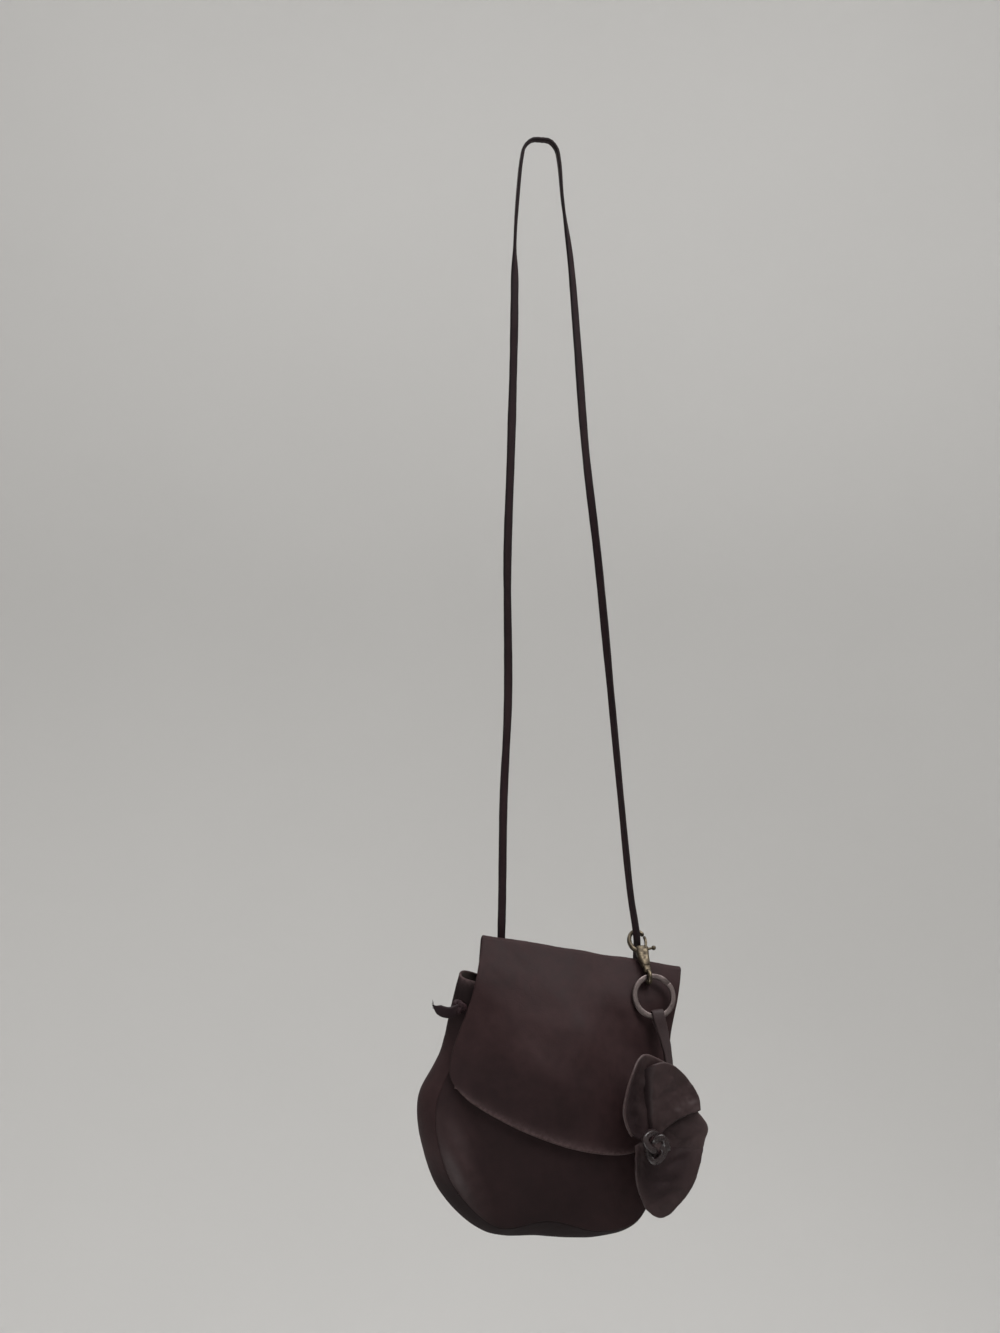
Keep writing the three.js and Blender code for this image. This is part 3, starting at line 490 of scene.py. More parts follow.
@dataclass(frozen=True)
class Leather(Finish):
    """Soft dyed leather: clouded colour, fine pebbled grain, creases, paler edges that are partly wear and
    partly painted highlight, and a second colour that is painted shade on the bag and the petals, an even
    tone on the thong and a real tint on the strap and the knot.
    """

    name: str
    slot: str
    dark: Colour
    middle: Colour
    light: Colour
    edge: Colour
    core: Colour
    roughness: float
    refraction: float
    grain_mm: float
    grain_depth: float
    crease_mm: float
    crease_depth: float
    suede: Colour = (0.045, 0.036, 0.031)
    cloud_mm: float = 48.0
    mottle_mm: float = 7.0
    patch_mm: float = 30.0
    scuff_mm: float = 2.2
    fine_mm: float = 0.5
    matt: float = 0.3
    coat: float = 0.25
    coat_roughness: float = 0.5
    sheen: float = 0.015
    sheen_roughness: float = 0.45
    sheen_tint: Colour = (0.75, 0.55, 0.55)

    def shade(self) -> bpy.types.Material:
        """Makes the material: two sizes of cloud choose the colour and a net of cells makes the grain."""
        shader = Shader(self.name)
        cloud = shader.noise(self.cloud_mm, 4.0)
        mottle = shader.noise(self.mottle_mm, 3.0)
        tone = 0.62 * cloud + 0.38 * mottle
        colour = shader.ramp(tone, [(0.34, self.dark), (0.5, self.middle), (0.68, self.light)])
        # Second colour: painted shade on the bag and the petals, an even tone on the thong, a real tint on
        # the strap and the knot.
        colour = shader.mix(shader.worn("core"), colour, self.core)
        colour = shader.mix(shader.worn("suede"), colour, self.suede)
        scuff = shader.noise(self.scuff_mm, 2.0).step(0.3, 0.7)
        # Paler edges: wear, and a painted highlight along the flap's hem and the petals' rims.
        wear = shader.worn("wear") * (0.45 + 0.55 * scuff)
        colour = shader.mix(wear, colour, self.edge)
        pebble = shader.cells(self.grain_mm, "SMOOTH_F1")
        crease = shader.cells(self.crease_mm, "DISTANCE_TO_EDGE").step(0.0, 0.09)
        fine = shader.noise(self.fine_mm, 2.0)
        patch = shader.noise(self.patch_mm, 2.0).step(0.38, 0.66)
        height = (1.0 - pebble) * self.grain_depth + crease * patch * self.crease_depth
        shader.relief(height + fine * (0.4 * self.grain_depth))
        rough = self.roughness + 0.16 * (mottle - 0.5) + 0.1 * (cloud - 0.5) + 0.08 * pebble
        rough = rough + self.matt * shader.worn("suede") + self.matt * shader.worn("core")
        shader.feed(shader.surface, {
            "Base Color": colour,
            "Roughness": rough,
            "IOR": self.refraction,
            "Coat Weight": shader.worn("polish") * (self.coat + self.coat * (mottle - 0.5)),
            "Coat Roughness": self.coat_roughness,
            "Sheen Weight": self.sheen,
            "Sheen Roughness": self.sheen_roughness,
            "Sheen Tint": (*self.sheen_tint, 1.0),
        })
        return shader.material


@dataclass(frozen=True)
class Metal(Finish):
    """Plated or bare metal with tarnish, fine scratches and rubbed high places."""

    name: str
    slot: str
    bright: Colour
    middle: Colour
    tarnish: Colour
    roughness: float
    patch_mm: float

    def shade(self) -> bpy.types.Material:
        """Makes the material: clouds choose between bright and tarnished metal, streaks roughen it."""
        shader = Shader(self.name)
        cloud = shader.noise(self.patch_mm, 4.0)
        streak = shader.noise(0.7, 2.0, (1.0, 1.0, 0.12))
        tone = 0.75 * cloud + 0.25 * streak
        colour = shader.ramp(tone, [(0.32, self.tarnish), (0.5, self.middle), (0.66, self.bright)])
        shader.relief(0.002 * streak + 0.004 * cloud)
        rough = self.roughness + 0.22 * (1.0 - cloud.step(0.3, 0.7)) + 0.08 * (streak - 0.5)
        shader.feed(shader.surface, {"Base Color": colour, "Roughness": rough, "Metallic": 1.0})
        return shader.material


@dataclass(frozen=True)
class Paint(Finish):
    """Plain matt paint of the studio's sweep."""

    name: str
    colour: Colour
    slot: str = ""

    def shade(self) -> bpy.types.Material:
        """Makes the material: a matt colour with a barely seen cloud."""
        shader = Shader(self.name)
        cloud = shader.noise(600.0, 2.0)
        lighter = tuple(1.02 * c for c in self.colour)
        colour = shader.ramp(cloud, [(0.3, self.colour), (0.7, lighter)])
        shader.feed(shader.surface, {"Base Color": colour, "Roughness": 0.9})
        return shader.material


# Its second colour is painted shade; its paler edge colour is partly wear and partly a painted highlight
# along the hem.
BAG_LEATHER = Leather(
    name="bag_leather", slot="bag_leather",
    dark=(0.0175, 0.0084, 0.0088), middle=(0.0240, 0.0118, 0.0123), light=(0.032, 0.0163, 0.0169),
    edge=(0.068, 0.045, 0.045), core=(0.0080, 0.0053, 0.0056),
    roughness=0.6, refraction=1.22, grain_mm=1.3, grain_depth=0.03, crease_mm=7.0, crease_depth=0.03,
)
STRAP_LEATHER = Leather(
    name="strap_leather", slot="strap_leather",
    dark=(0.008, 0.0050, 0.0062), middle=(0.012, 0.0072, 0.0086), light=(0.017, 0.0100, 0.0114),
    edge=(0.025, 0.016, 0.017), core=(0.052, 0.018, 0.021),
    roughness=0.52, refraction=1.22, grain_mm=0.9, grain_depth=0.03, crease_mm=3.2, crease_depth=0.04,
)
# Its second colour is painted shade on the petals and an even darker tone on the thong; its paler edge colour
# is partly wear and partly a painted highlight on the petals' rims.
CHARM_LEATHER = Leather(
    name="charm_leather", slot="charm_leather",
    dark=(0.024, 0.0138, 0.0141), middle=(0.032, 0.0190, 0.0194), light=(0.042, 0.0265, 0.0270),
    edge=(0.058, 0.039, 0.038), core=(0.0115, 0.0046, 0.0054),
    roughness=0.44, refraction=1.31, grain_mm=1.0, grain_depth=0.03, crease_mm=4.5, crease_depth=0.04,
)
LACE_LEATHER = Leather(
    name="charm_lace", slot="charm_leather",
    dark=(0.014, 0.0090, 0.0094), middle=(0.020, 0.0130, 0.0135), light=(0.029, 0.0195, 0.0200),
    edge=(0.060, 0.042, 0.042), core=(0.046, 0.020, 0.020),
    roughness=0.24, refraction=1.5, grain_mm=0.8, grain_depth=0.015, crease_mm=3.0, crease_depth=0.03,
)
BRASS = Metal(
    name="antique_brass", slot="clasp_brass",
    bright=(0.145, 0.118, 0.082), middle=(0.086, 0.070, 0.050), tarnish=(0.036, 0.029, 0.023), roughness=0.42,
    patch_mm=4.0,
)
NICKEL = Metal(
    name="polished_nickel", slot="ring_nickel",
    bright=(0.165, 0.134, 0.129), middle=(0.108, 0.087, 0.084), tarnish=(0.06, 0.048, 0.046), roughness=0.28,
    patch_mm=11.0,
)
SWEEP_PAINT = Paint(name="sweep_paint", colour=(0.6, 0.594, 0.584))


@dataclass
class Wall:
    """A closed leather wall whose sewn sides roll into their seams and whose free edges are round.

    Near a sewn side the surface dips by a quarter round along the line that halves the seam's angle,
    and the inner face is cut back along that line. Round a free side the edge is a half round.

    Attributes:
        surface: Grid of outer points. Down its rows crossed with along its columns points outwards.
        thickness: Thickness of the leather.
        sewn: How far the sides first, last, left and right are sewn, 0 to 1. One left out is free.
        keep: Which cells of the grid stay. The others leave a hole.
        hem: How much the leather swells along its last side.
        painted_shade: How far each outer point takes the leather's darker second colour as painted shade.
        uneven: Height of the leather's own unevenness, which fades out towards a seam.
        pale_edge_sides: Sides whose free edges are paler, partly as wear and partly as painted highlight.
        lining: How far the inner face is pale suede.
        polish: How far each outer point is worn shiny.
    """

    surface: Array
    thickness: float
    sewn: dict[str, Array | float]
    keep: Array | bool = True
    hem: float = 0.0
    painted_shade: Array | float = 0.0
    uneven: Array | float = 0.0
    pale_edge_sides: Sequence[str] = ("first", "last", "left", "right")
    lining: float = 0.0
    polish: Array | float = 0.0
    roll: float = 6.0
    sink: float = 0.25
    pucker: float = 0.1
    pucker_fade: float = 5.0
    seam_gap: float = 0.01
    gap_fade: float = 2.0
    calm_within: float = 9.0
    hem_width: float = 3.2
    hem_fade: float = 12.0
    wear_width: float = 2.0
    unworn: float = 40.0
    edge_steps: int = 5

    def __post_init__(self) -> None:
        """Measures the grid, numbers its points and gives each side a value all along it."""
        down, across = np.gradient(self.surface, axis=0), np.gradient(self.surface, axis=1)
        self.normal = unit(np.cross(down, across))
        self.down, self.across = unit(down), unit(across)
        self.over, self.beside = run(self.surface, 0), run(self.surface, 1)
        self.to_last, self.to_right = self.over[-1:] - self.over, self.beside[:, -1:] - self.beside
        self.shape = rows, columns = self.over.shape
        counts = {"first": columns, "last": columns, "left": rows, "right": rows}
        self.sewn = {side: np.broadcast_to(self.sewn.get(side, 0.0), n) for side, n in counts.items()}
        self.index = index = np.arange(self.over.size).reshape(self.shape)
        self.rim = np.concatenate([index[0, :-1], index[:-1, -1], index[-1, :0:-1], index[:0:-1, 0]])

    def sides(self) -> dict[str, tuple[Array, Array, Array, Array]]:
        """For each side: the distance from it, the way out, how far it is sewn and the length along it."""
        return {
            "first": (self.over, -self.down, self.sewn["first"][None, :], self.beside),
            "last": (self.to_last, self.down, self.sewn["last"][None, :], self.beside),
            "left": (self.beside, -self.across, self.sewn["left"][:, None], self.over),
            "right": (self.to_right, self.across, self.sewn["right"][:, None], self.over),
        }

    def seamed(self) -> tuple[Array, Array, Array, Array]:
        """Works the four sides into the surface, with a roll and small puckers along each seam.

        Returns:
            The outer points, the inner face's cut, how far unevenness stays, and the paler edge, partly wear
            and partly painted highlight.
        """
        outer, mitre = self.surface.copy(), np.zeros_like(self.surface)
        free, calm = np.full(self.shape, 1e3), np.ones(self.shape)
        for name, (distance, outward, weight, seam) in self.sides().items():
            near = 1.0 - np.minimum(distance, self.roll) / self.roll
            dip = self.sink * (1.0 - np.sqrt(1.0 - near * near)) * weight
            outer -= dip[..., None] * (self.normal + outward) / np.sqrt(2.0)
            pull = weight * 0.5 * self.seam_gap * np.maximum(1.0 - distance / self.gap_fade, 0.0)
            outer -= pull[..., None] * outward
            waves = np.sin(seam * 0.74 + 1.9 * np.sin(seam * 0.11)) * np.exp(-distance / self.pucker_fade)
            pucker = self.pucker * waves * weight * np.minimum(distance / self.gap_fade, 1.0)
            outer += pucker[..., None] * self.normal
            mitre += (weight * np.maximum(self.thickness - distance, 0.0))[..., None] * outward
            calm *= 1.0 - weight * (1.0 - smooth(0.0, self.calm_within, distance))
            if name in self.pale_edge_sides:
                free = np.minimum(free, distance + self.unworn * weight)
        return outer, mitre, calm, np.exp(-free / self.wear_width)

    def rounds(self, outer: Array, inner: Array, thick: Array) -> Array:
        """Half rounds from the outer to the inner rim, which are flat where a side is sewn.

        Args:
            outer: Outer points.
            inner: Inner points.
            thick: Thickness of the leather at each.

        Returns:
            Points by step round the edge and by place along the rim.
        """
        facing, share = np.zeros_like(self.surface), np.zeros(self.shape)
        facing[0] -= self.down[0]
        facing[-1] += self.down[-1]
        facing[:, 0] -= self.across[:, 0]
        facing[:, -1] += self.across[:, -1]
        share[0], share[-1] = self.sewn["first"], self.sewn["last"]
        share[:, 0] = np.maximum(share[:, 0], self.sewn["left"])
        share[:, -1] = np.maximum(share[:, -1], self.sewn["right"])
        above, below = outer.reshape(-1, 3)[self.rim], inner.reshape(-1, 3)[self.rim]
        turn = np.pi * np.arange(1, self.edge_steps)[:, None, None] / self.edge_steps
        middle, half = (above + below) / 2.0, (above - below) / 2.0
        reach = thick.ravel()[self.rim] * (1.0 - share.ravel()[self.rim])
        bulge = 0.5 * reach[:, None] * unit(facing.reshape(-1, 3)[self.rim])
        return middle + np.cos(turn) * half + np.sin(turn) * bulge

    def faces(self) -> list[list[int]]:
        """Faces of the outer and the inner grid, of the rounds between them and of the holes' rims."""
        index, rim, under = self.index, self.rim, self.index.size
        cells = np.stack([index[:-1, :-1], index[1:, :-1], index[1:, 1:], index[:-1, 1:]], axis=-1)
        kept = np.broadcast_to(self.keep, cells.shape[:2])
        steps = np.arange((self.edge_steps - 1) * len(rim)).reshape(-1, len(rim)) + 2 * under
        loops = np.concatenate([rim[None], steps, rim[None] + under])
        here, ahead = loops[:-1], loops[1:]
        edge = np.stack([here, np.roll(here, -1, 1), np.roll(ahead, -1, 1), ahead], axis=-1).reshape(-1, 4)
        grids = [cells[kept], cells[kept][:, ::-1] + under, edge]
        return np.concatenate(grids).tolist() + hole_rims(index, kept, under)

    def spread(self, outer: Array | float, inner: Array | float, edge: Array | float) -> Array:
        """A value for every point, from its values on the outer grid, the inner grid and the edge."""
        outer, inner, edge = (np.broadcast_to(value, self.shape).ravel() for value in (outer, inner, edge))
        return np.concatenate([outer, inner, np.tile(edge[self.rim], self.edge_steps - 1)])

    def skin(self) -> Skin:
        """A new skin that holds the wall."""
        outer, mitre, calm, wear = self.seamed()
        to_side = np.minimum(self.beside, self.to_right)
        lip = self.hem * np.exp(-((self.to_last / self.hem_width) ** 2)) * smooth(0.0, self.hem_fade, to_side)
        outer += (lip + self.uneven * calm)[..., None] * self.normal
        thick = self.thickness + lip
        inner = outer - thick[..., None] * self.normal - mitre
        shells = (outer, inner, self.rounds(outer, inner, thick))
        skin = Skin()
        skin.add(
            np.concatenate([shell.reshape(-1, 3) for shell in shells]),
            self.faces(),
            wear=self.spread(wear, 0.5 * wear, wear),
            suede=self.spread(0.0, self.lining, 0.0),
            core=self.spread(self.painted_shade, 0.0, self.painted_shade),
            polish=self.spread(self.polish, 0.0, 0.0),
        )
        return skin


def hole_rims(index: Array, kept: Array, under: int) -> list[list[int]]:
    """Faces that close a wall's holes between its outer and its inner grid.

    Args:
        index: Numbers of the outer grid's points.
        kept: Which cells of the grid stay.
        under: What to add to a number for the inner grid.

    Returns:
        A face for each edge between a cell that stays and one that doesn't.
    """
    found = []
    beside = kept[:, :-1].astype(int) - kept[:, 1:]
    above = kept[:-1].astype(int) - kept[1:]
    for way in (1, -1):
        r, c = np.nonzero(beside == way)
        upper, lower = index[r, c + 1], index[r + 1, c + 1]
        found.append((upper, lower) if way > 0 else (lower, upper))
        r, c = np.nonzero(above == way)
        left, right = index[r + 1, c], index[r + 1, c + 1]
        found.append((right, left) if way > 0 else (left, right))
    faces = [np.stack([a, b, b + under, a + under], axis=-1) for a, b in found]
    return np.concatenate(faces).tolist()


def strip_section(width: float, thickness: float, count: int, groove: float) -> Array:
    """A flat strip's outline: a rounded oblong, anticlockwise, with a shallow groove along both faces.

    Args:
        width: Width of the strip.
        thickness: Thickness of the strip.
        count: How many points the outline has.
        groove: Share of the thickness that each groove takes away.

    Returns:
        Points along the width and the thickness.
    """
    groove_width = 0.16 * width
    turn = 2.0 * np.pi * (np.arange(count) + 0.5) / count
    a, b = (squared(turn, (0.42, 0.5)) * (width / 2.0, thickness / 2.0)).T
    return np.stack([a, b * (1.0 - groove * np.exp(-((a / groove_width) ** 2)))], axis=-1)


def carry(centres: Array, sides: Array, section: Array, closed: bool = False) -> Array:
    """A section carried along a path, with its width along the given sides squared to the path.

    Args:
        centres: Points of the path.
        sides: Direction of the width, one for all or one for each point.
        section: Outline, one for all or one for each point.
        closed: Whether the path closes on itself.

    Returns:
        Rings of points.
    """
    if closed:
        tangent = unit(np.roll(centres, -1, axis=0) - np.roll(centres, 1, axis=0))
    else:
        tangent = unit(np.gradient(centres, axis=0))
    side = unit(sides - (sides * tangent).sum(-1, keepdims=True) * tangent)
    face = np.cross(tangent, side)
    outline = np.broadcast_to(section, (len(centres),) + section.shape[-2:])
    return centres[:, None] + outline[..., :1] * side[:, None] + outline[..., 1:] * face[:, None]


def path_through(places: Array, columns: Array, step: float) -> tuple[Array, Array]:
    """A smooth path through waypoints, by centripetal cubics, and values eased between them.

    Args:
        places: The waypoints.
        columns: Values at each waypoint, such as the direction of a strip's width.
        step: Length of a step along the path.

    Returns:
        The path's points and the values there.
    """
    ends = np.concatenate([[2 * places[0] - places[1]], places, [2 * places[-1] - places[-2]]])
    knots = np.sqrt(np.linalg.norm(np.diff(ends, axis=0), axis=1))
    path, values = [], []
    last = len(places) - 1
    for i in range(last):
        p0, p1, p2, p3 = ends[i:i + 4]
        d0, d1, d2 = knots[i:i + 3]
        m = d1 * ((p1 - p0) / d0 - (p2 - p0) / (d0 + d1) + (p2 - p1) / d1)
        n = d1 * ((p2 - p1) / d1 - (p3 - p1) / (d1 + d2) + (p3 - p2) / d2)
        count = max(int(np.ceil(np.linalg.norm(p2 - p1) / step)), 1)
        t = (np.arange(count + (i == last - 1)) / count)[:, None]
        path.append(p1 + t * (m + t * (3 * (p2 - p1) - 2 * m - n + t * (2 * (p1 - p2) + m + n))))
        ease = t * t * (3 - 2 * t)
        values.append((1 - ease) * columns[i] + ease * columns[i + 1])
    return np.concatenate(path), np.concatenate(values)


def ball(centre: Sequence[float], radii: Sequence[float], rings: int, around: int) -> Array:
    """Rings of an ellipsoid from its lower to its upper pole.

    Args:
        centre: Its middle.
        radii: Its three half sizes.
        rings: How many rings it has.
        around: How many points a ring has.

    Returns:
        Rings of points, with tiny rings at the poles.
    """
    pole = 0.48 * np.pi
    rise = np.linspace(-pole, pole, rings)[:, None]
    east, north = circle(around).T
    shape = points(np.cos(rise) * east, np.cos(rise) * north, np.sin(rise))
    return shape * np.asarray(radii) + np.asarray(centre)


def rod(start: Sequence[float], end: Sequence[float], radii: Sequence[float], around: int) -> Array:
    """Rings of a round rod with softened ends, whose radius runs evenly through the given ones.

    Args:
        start: Middle of the first end.
        end: Middle of the last end.
        radii: Radii at even steps from start to end.
        around: How many points a ring has.

    Returns:
        Rings of points.
    """
    soft, narrow = 0.03, 0.78
    start, end = np.asarray(start, dtype=float), np.asarray(end, dtype=float)
    share = np.concatenate([[0.0], np.linspace(soft, 1.0 - soft, len(radii)), [1.0]])
    size = np.concatenate([[narrow * radii[0]], radii, [narrow * radii[-1]]])
    centres = start + share[:, None] * (end - start)
    way = unit(end - start)
    side = RIGHT if abs(way[0]) < 0.8 else UP
    return carry(centres, side, size[:, None, None] * circle(around))


# Where the sub-assemblies hang, the flower in the charm's own axes, and their leans in degrees
FOLD_CENTRE = (30.3, 0.0, -577.8)
BAG_TILT = 11.1
CLASP_EYE = (74.4, -20.2, -594.4)
CLASP_LEAN = 41.6
CHARM_LEAN = 24.0
FLOWER_CENTRE = (-8.6, 5.0, -107.5)
FLOWER_LEAN = 6.0

# How far the front and the flap stand forward of the back at a drop below the fold
FRONT_FORM = Table(
    "drop crown fall_left fall_right",
    (20, 20, 5, 9),
    (36, 29, 14, 26),
    (48, 37.5, 20, 34),
    (75, 45, 20, 32),
    (100, 50, 16, 26),
    (130, 54, 14, 20),
    (160, 54, 12, 16),
    (195, 46, 10, 12),
)
FOLD_RADIUS = 4.5
FOLD_TURN = np.radians(135.0)
FOLD_END_DROP = FOLD_RADIUS * (1.0 - np.sin(FOLD_TURN))
FLAP_FORM = Table(
    "drop crown fall_left fall_right",
    (FOLD_END_DROP, 7.7, 0, 0),
    (12, 16.5, 2, 4),
    (24, 26.2, 5, 12),
    (36, 34.4, 11, 25),
    (48, 41.4, 20, 34),
    (75, 48.9, 20, 32),
    (100, 53.9, 16, 26),
    (130, 58.2, 14, 20),
)
# Dent under the charm, swell beside it, ridge across the flap, ridge at the left seam, valley inside it
FOLDS = Table(
    "x drop turn length width height",
    (28, 49, 50, 30, 13, -6.5),
    (0, 52, 60, 28, 20, 3),
    (-19, 78, 25, 48, 15, 4.8),
    (-69, 144, 54, 36, 12, 6.5),
    (-46, 140, 56, 36, 17, -3),
)
# Seams of the left half at mouth, neck, shoulder, belly, flank, corner, heel and bottom
SEAMS = Table(
    "drop half front_drop front_half swell",
    (29.5, 70, 28, 68, 17.8),
    (52, 77, 52, 72, 13.5),
    (84, 82, 82, 81, 8),
    (118, 91, 112, 89.5, 9),
    (146, 84, 140, 82, 8),
    (170, 68, 164, 65, 9),
    (187, 38, 184, 33, 11),
    (188, 0, 174, 0, 13.5),
)
# How the collapsed right half departs from the left one, from its mouth to its heel
RIGHT_SIDE = Table(
    "pinch sag front_sag swell",
    (0, 0, 0, 1),
    (1, 0, 0, 1),
    (3, 0, 0, 2),
    (9, 0, 0, 3),
    (10, 2, 2, 1),
    (3, 8, 5, 5.5),
    (-3, 1.5, -6, 8),
)
# The flap's free edge, from the left end of the fold round to the right end
FLAP_EDGE = Table(
    "x drop",
    (-73, FOLD_END_DROP),
    (-77, 42),
    (-84, 80),
    (-79, 97.5),
    (-50, 110),
    (0, 120.5),
    (44, 121),
    (69, 108),
    (72, 84),
    (70, 42),
    (73, FOLD_END_DROP),
)


def both_sides() -> Table:
    """Stations of the pouch's seams, from the left mouth round the bottom to the right mouth."""
    right = slice(-2, None, -1)
    pinch, sag, front_sag = (RIGHT_SIDE[name][::-1] for name in ("pinch", "sag", "front_sag"))
    rows = zip(
        np.concatenate([-SEAMS["half"], SEAMS["half"][right] - pinch]),
        np.concatenate([SEAMS["drop"], SEAMS["drop"][right] + sag]),
        np.concatenate([-SEAMS["front_half"], SEAMS["front_half"][right] - pinch]),
        np.concatenate([SEAMS["front_drop"], SEAMS["front_drop"][right] + front_sag]),
        np.concatenate([SEAMS["swell"], RIGHT_SIDE["swell"][::-1]]),
    )
    return Table("x drop front_x front_drop swell", *rows)


@dataclass
class Pouch:
    """The bag itself: one leather for back, fold and flap, a front and a gusset, hung tilted."""

    place: Place
    leather: float = 1.8
    hem: float = 1.2
    fold_half: float = 73.0
    spread: float = 90.0
    side_stations: int = 5
    bottom_stations: int = 4
    mouth_sag: float = 12.0
    mouth_dip: float = 0.22
    mouth_round: float = 0.2
    slot_x: float = 53.0
    slot_drop: float = 39.6
    slot_size: tuple[float, float] = (8.4, 9.6)
    hole: tuple[float, float] = (0.95, 0.22)
    hole_radius: float = 3.2

    def __post_init__(self) -> None:
        """Works out the stations of the seams."""
        self.stations = both_sides()

    def form_points(self, form: Table, place: Array) -> Array:
        """Points of the front or the flap: a crown that falls off to the sides, with folds on it."""
        x, drop = place[..., 0], place[..., 1]
        fall = np.where(x < 0, form.at("fall_left", drop), form.at("fall_right", drop))
        depth = form.at("crown", drop) - fall * (x / self.spread) ** 2 + humps(FOLDS, "drop", x, drop)
        return points(x, -depth, -drop)

    @staticmethod
    def flat_points(place: Array) -> Array:
        """Points of the back, which is flat."""
        return points(place[..., 0], 0.0, -place[..., 1])

    def back_seam(self, s: Array) -> Array:
        """Place on the back of its seam with the gusset."""
        return self.stations.places("x drop", s)

    def front_seam(self, s: Array) -> Array:
        """Place on the front of its seam with the gusset."""
        return self.stations.places("front_x front_drop", s)

    def flap_edge(self, s: Array) -> Array:
        """Place of the flap's free edge."""
        return FLAP_EDGE.places("x drop", s)

    @staticmethod
    def patch(
        edge: Callable[[Array], Array],
        top: Callable[[Array], Array],
        stations: tuple[int, int],
        rows: Array,
        columns: Array,
    ) -> Array:
        """Fills the outline of an edge and a top line: sides and ends blended, less their corners.

        Args:
            edge: The edge by station, down the left, along the bottom and up the right.
            top: The top line, from left to right.
            stations: How many stations lie along a side and along the bottom.
            rows: Shares from the top to the bottom.
            columns: Shares from left to right.

        Returns:
            Places by row and column.
        """
        side, bottom = (float(n) for n in stations)
        a, b = columns[None, :, None], rows[:, None, None]
        left, right = edge(rows * side)[:, None], edge(2 * side + bottom - rows * side)[:, None]
        upper, lower = top(columns)[None], edge(side + columns * bottom)[None]
        corners = [edge(np.array([k]))[None] for k in (0.0, 2 * side + bottom, side, side + bottom)]
        sides = (1 - a) * left + a * right
        ends = (1 - b) * upper + b * lower
        above = (1 - a) * corners[0] + a * corners[1]
        below = (1 - a) * corners[2] + a * corners[3]
        return sides + ends - (1 - b) * above - b * below

    def gusset_points(self, s: Array, v: Array) -> Array:
        """Points of the gusset: between its two seams, swollen outwards by half a sine wave.

        Args:
            s: Stations along the seams.
            v: Shares from the front seam to the back seam.

        Returns:
            The points.
        """
        front = self.form_points(FRONT_FORM, self.front_seam(s))
        back = self.flat_points(self.back_seam(s))
        last = len(self.stations) - 1
        before, after = self.back_seam(np.maximum(s - 0.05, 0)), self.back_seam(np.minimum(s + 0.05, last))
        way = before - after
        outward = unit(points(way[..., 1], 0.0, way[..., 0]))
        swell = self.stations.along("swell", s) * np.sin(np.pi * v)
        share = np.asarray(v)[..., None]
        return (1 - share) * front + share * back + swell[..., None] * outward

    def hole_centre(self) -> tuple[Array, Array]:
        """Where the strap's end comes out of the gusset, and the outward direction there."""
        s, v = (np.array(k) for k in self.hole)
        back = self.gusset_points(s, v + 0.05) - self.gusset_points(s, v - 0.05)
        down = self.gusset_points(s + 0.05, v) - self.gusset_points(s - 0.05, v)
        return self.gusset_points(s, v), unit(np.cross(back, down))

    @staticmethod
    def unevenness(surface: Array, seed: int, height: float) -> Array:
        """The slight unevenness of soft leather at each point of a surface."""
        broad = undulate(surface[..., 0] + surface[..., 1], surface[..., 2], seed, 60.0, 24.0)
        small = undulate(surface[..., 0] + surface[..., 1], surface[..., 2], seed + 1, 16.0, 7.0)
        return height * (broad + 0.16 * small)

    def front(self) -> bpy.types.Object:
        """The front: a filled patch inside its seam, open at the mouth."""
        rows, columns = shares(104), shares(150)
        start = self.front_seam(np.array(0.0))

        def top(a: Array) -> Array:
            """The mouth's edge, which sags between its ends."""
            x = start[0] * (1 - 2 * a)
            return np.stack([x, start[1] + self.mouth_sag * 4 * a * (1 - a)], axis=-1)

        place = self.patch(self.front_seam, top, (self.side_stations, self.bottom_stations), rows, columns)
        surface = self.form_points(FRONT_FORM, place)
        sewn = {"last": 1.0, "left": 1.0, "right": 1.0}
        x, drop = place[..., 0], place[..., 1]
        ridge = np.clip(humps(FOLDS, "drop", x, drop) / 5.0, 0.0, 1.0) * smooth(100.0, 125.0, drop)
        # Painted shade under the flap: darker on the left, lighter to the right, none on the shiny ridge.
        shade_under_flap = (0.45 - 0.3 * smooth(10.0, 60.0, x)) * (1.0 - ridge)
        uneven = self.unevenness(surface, 11, 0.35)
        wall = Wall(surface, self.leather, sewn, painted_shade=shade_under_flap, uneven=uneven, polish=ridge)
        return dress(wall.skin().make("front_leather", self.place), BAG_LEATHER, "bag", "front_panel")

    def gusset(self) -> bpy.types.Object:
        """The gusset: a strip from the left mouth round the bottom to the right mouth, with a hole."""
        last = len(self.stations) - 1
        s, v = np.meshgrid(last * shares(330), shares(40))
        dip = self.mouth_dip * smooth(0.85, 0.25, v) + self.mouth_round * np.sin(np.pi * v)
        s = s + dip * np.exp(-s / 0.6)
        surface = self.gusset_points(s, v)
        centre, _ = self.hole_centre()
        middles = (surface[:-1, :-1] + surface[1:, 1:]) / 2.0
        keep = np.linalg.norm(middles - centre, axis=-1) > self.hole_radius
        sewn = {"first": 1.0, "last": 1.0}
        # Painted shade: darker at the tab by the left mouth and along the underside.
        mouth_and_bottom_shade = 0.75 * np.exp(-((s / 1.7) ** 4)) + 0.85 * smooth(3.8, 5.2, s) * smooth(11.0, 9.6, s)
        uneven = self.unevenness(surface, 23, 0.25)
        wall = Wall(surface, self.leather, sewn, keep, painted_shade=mouth_and_bottom_shade, uneven=uneven, lining=1.0)
        return dress(wall.skin().make("gusset_leather", self.place), BAG_LEATHER, "bag", "gusset")

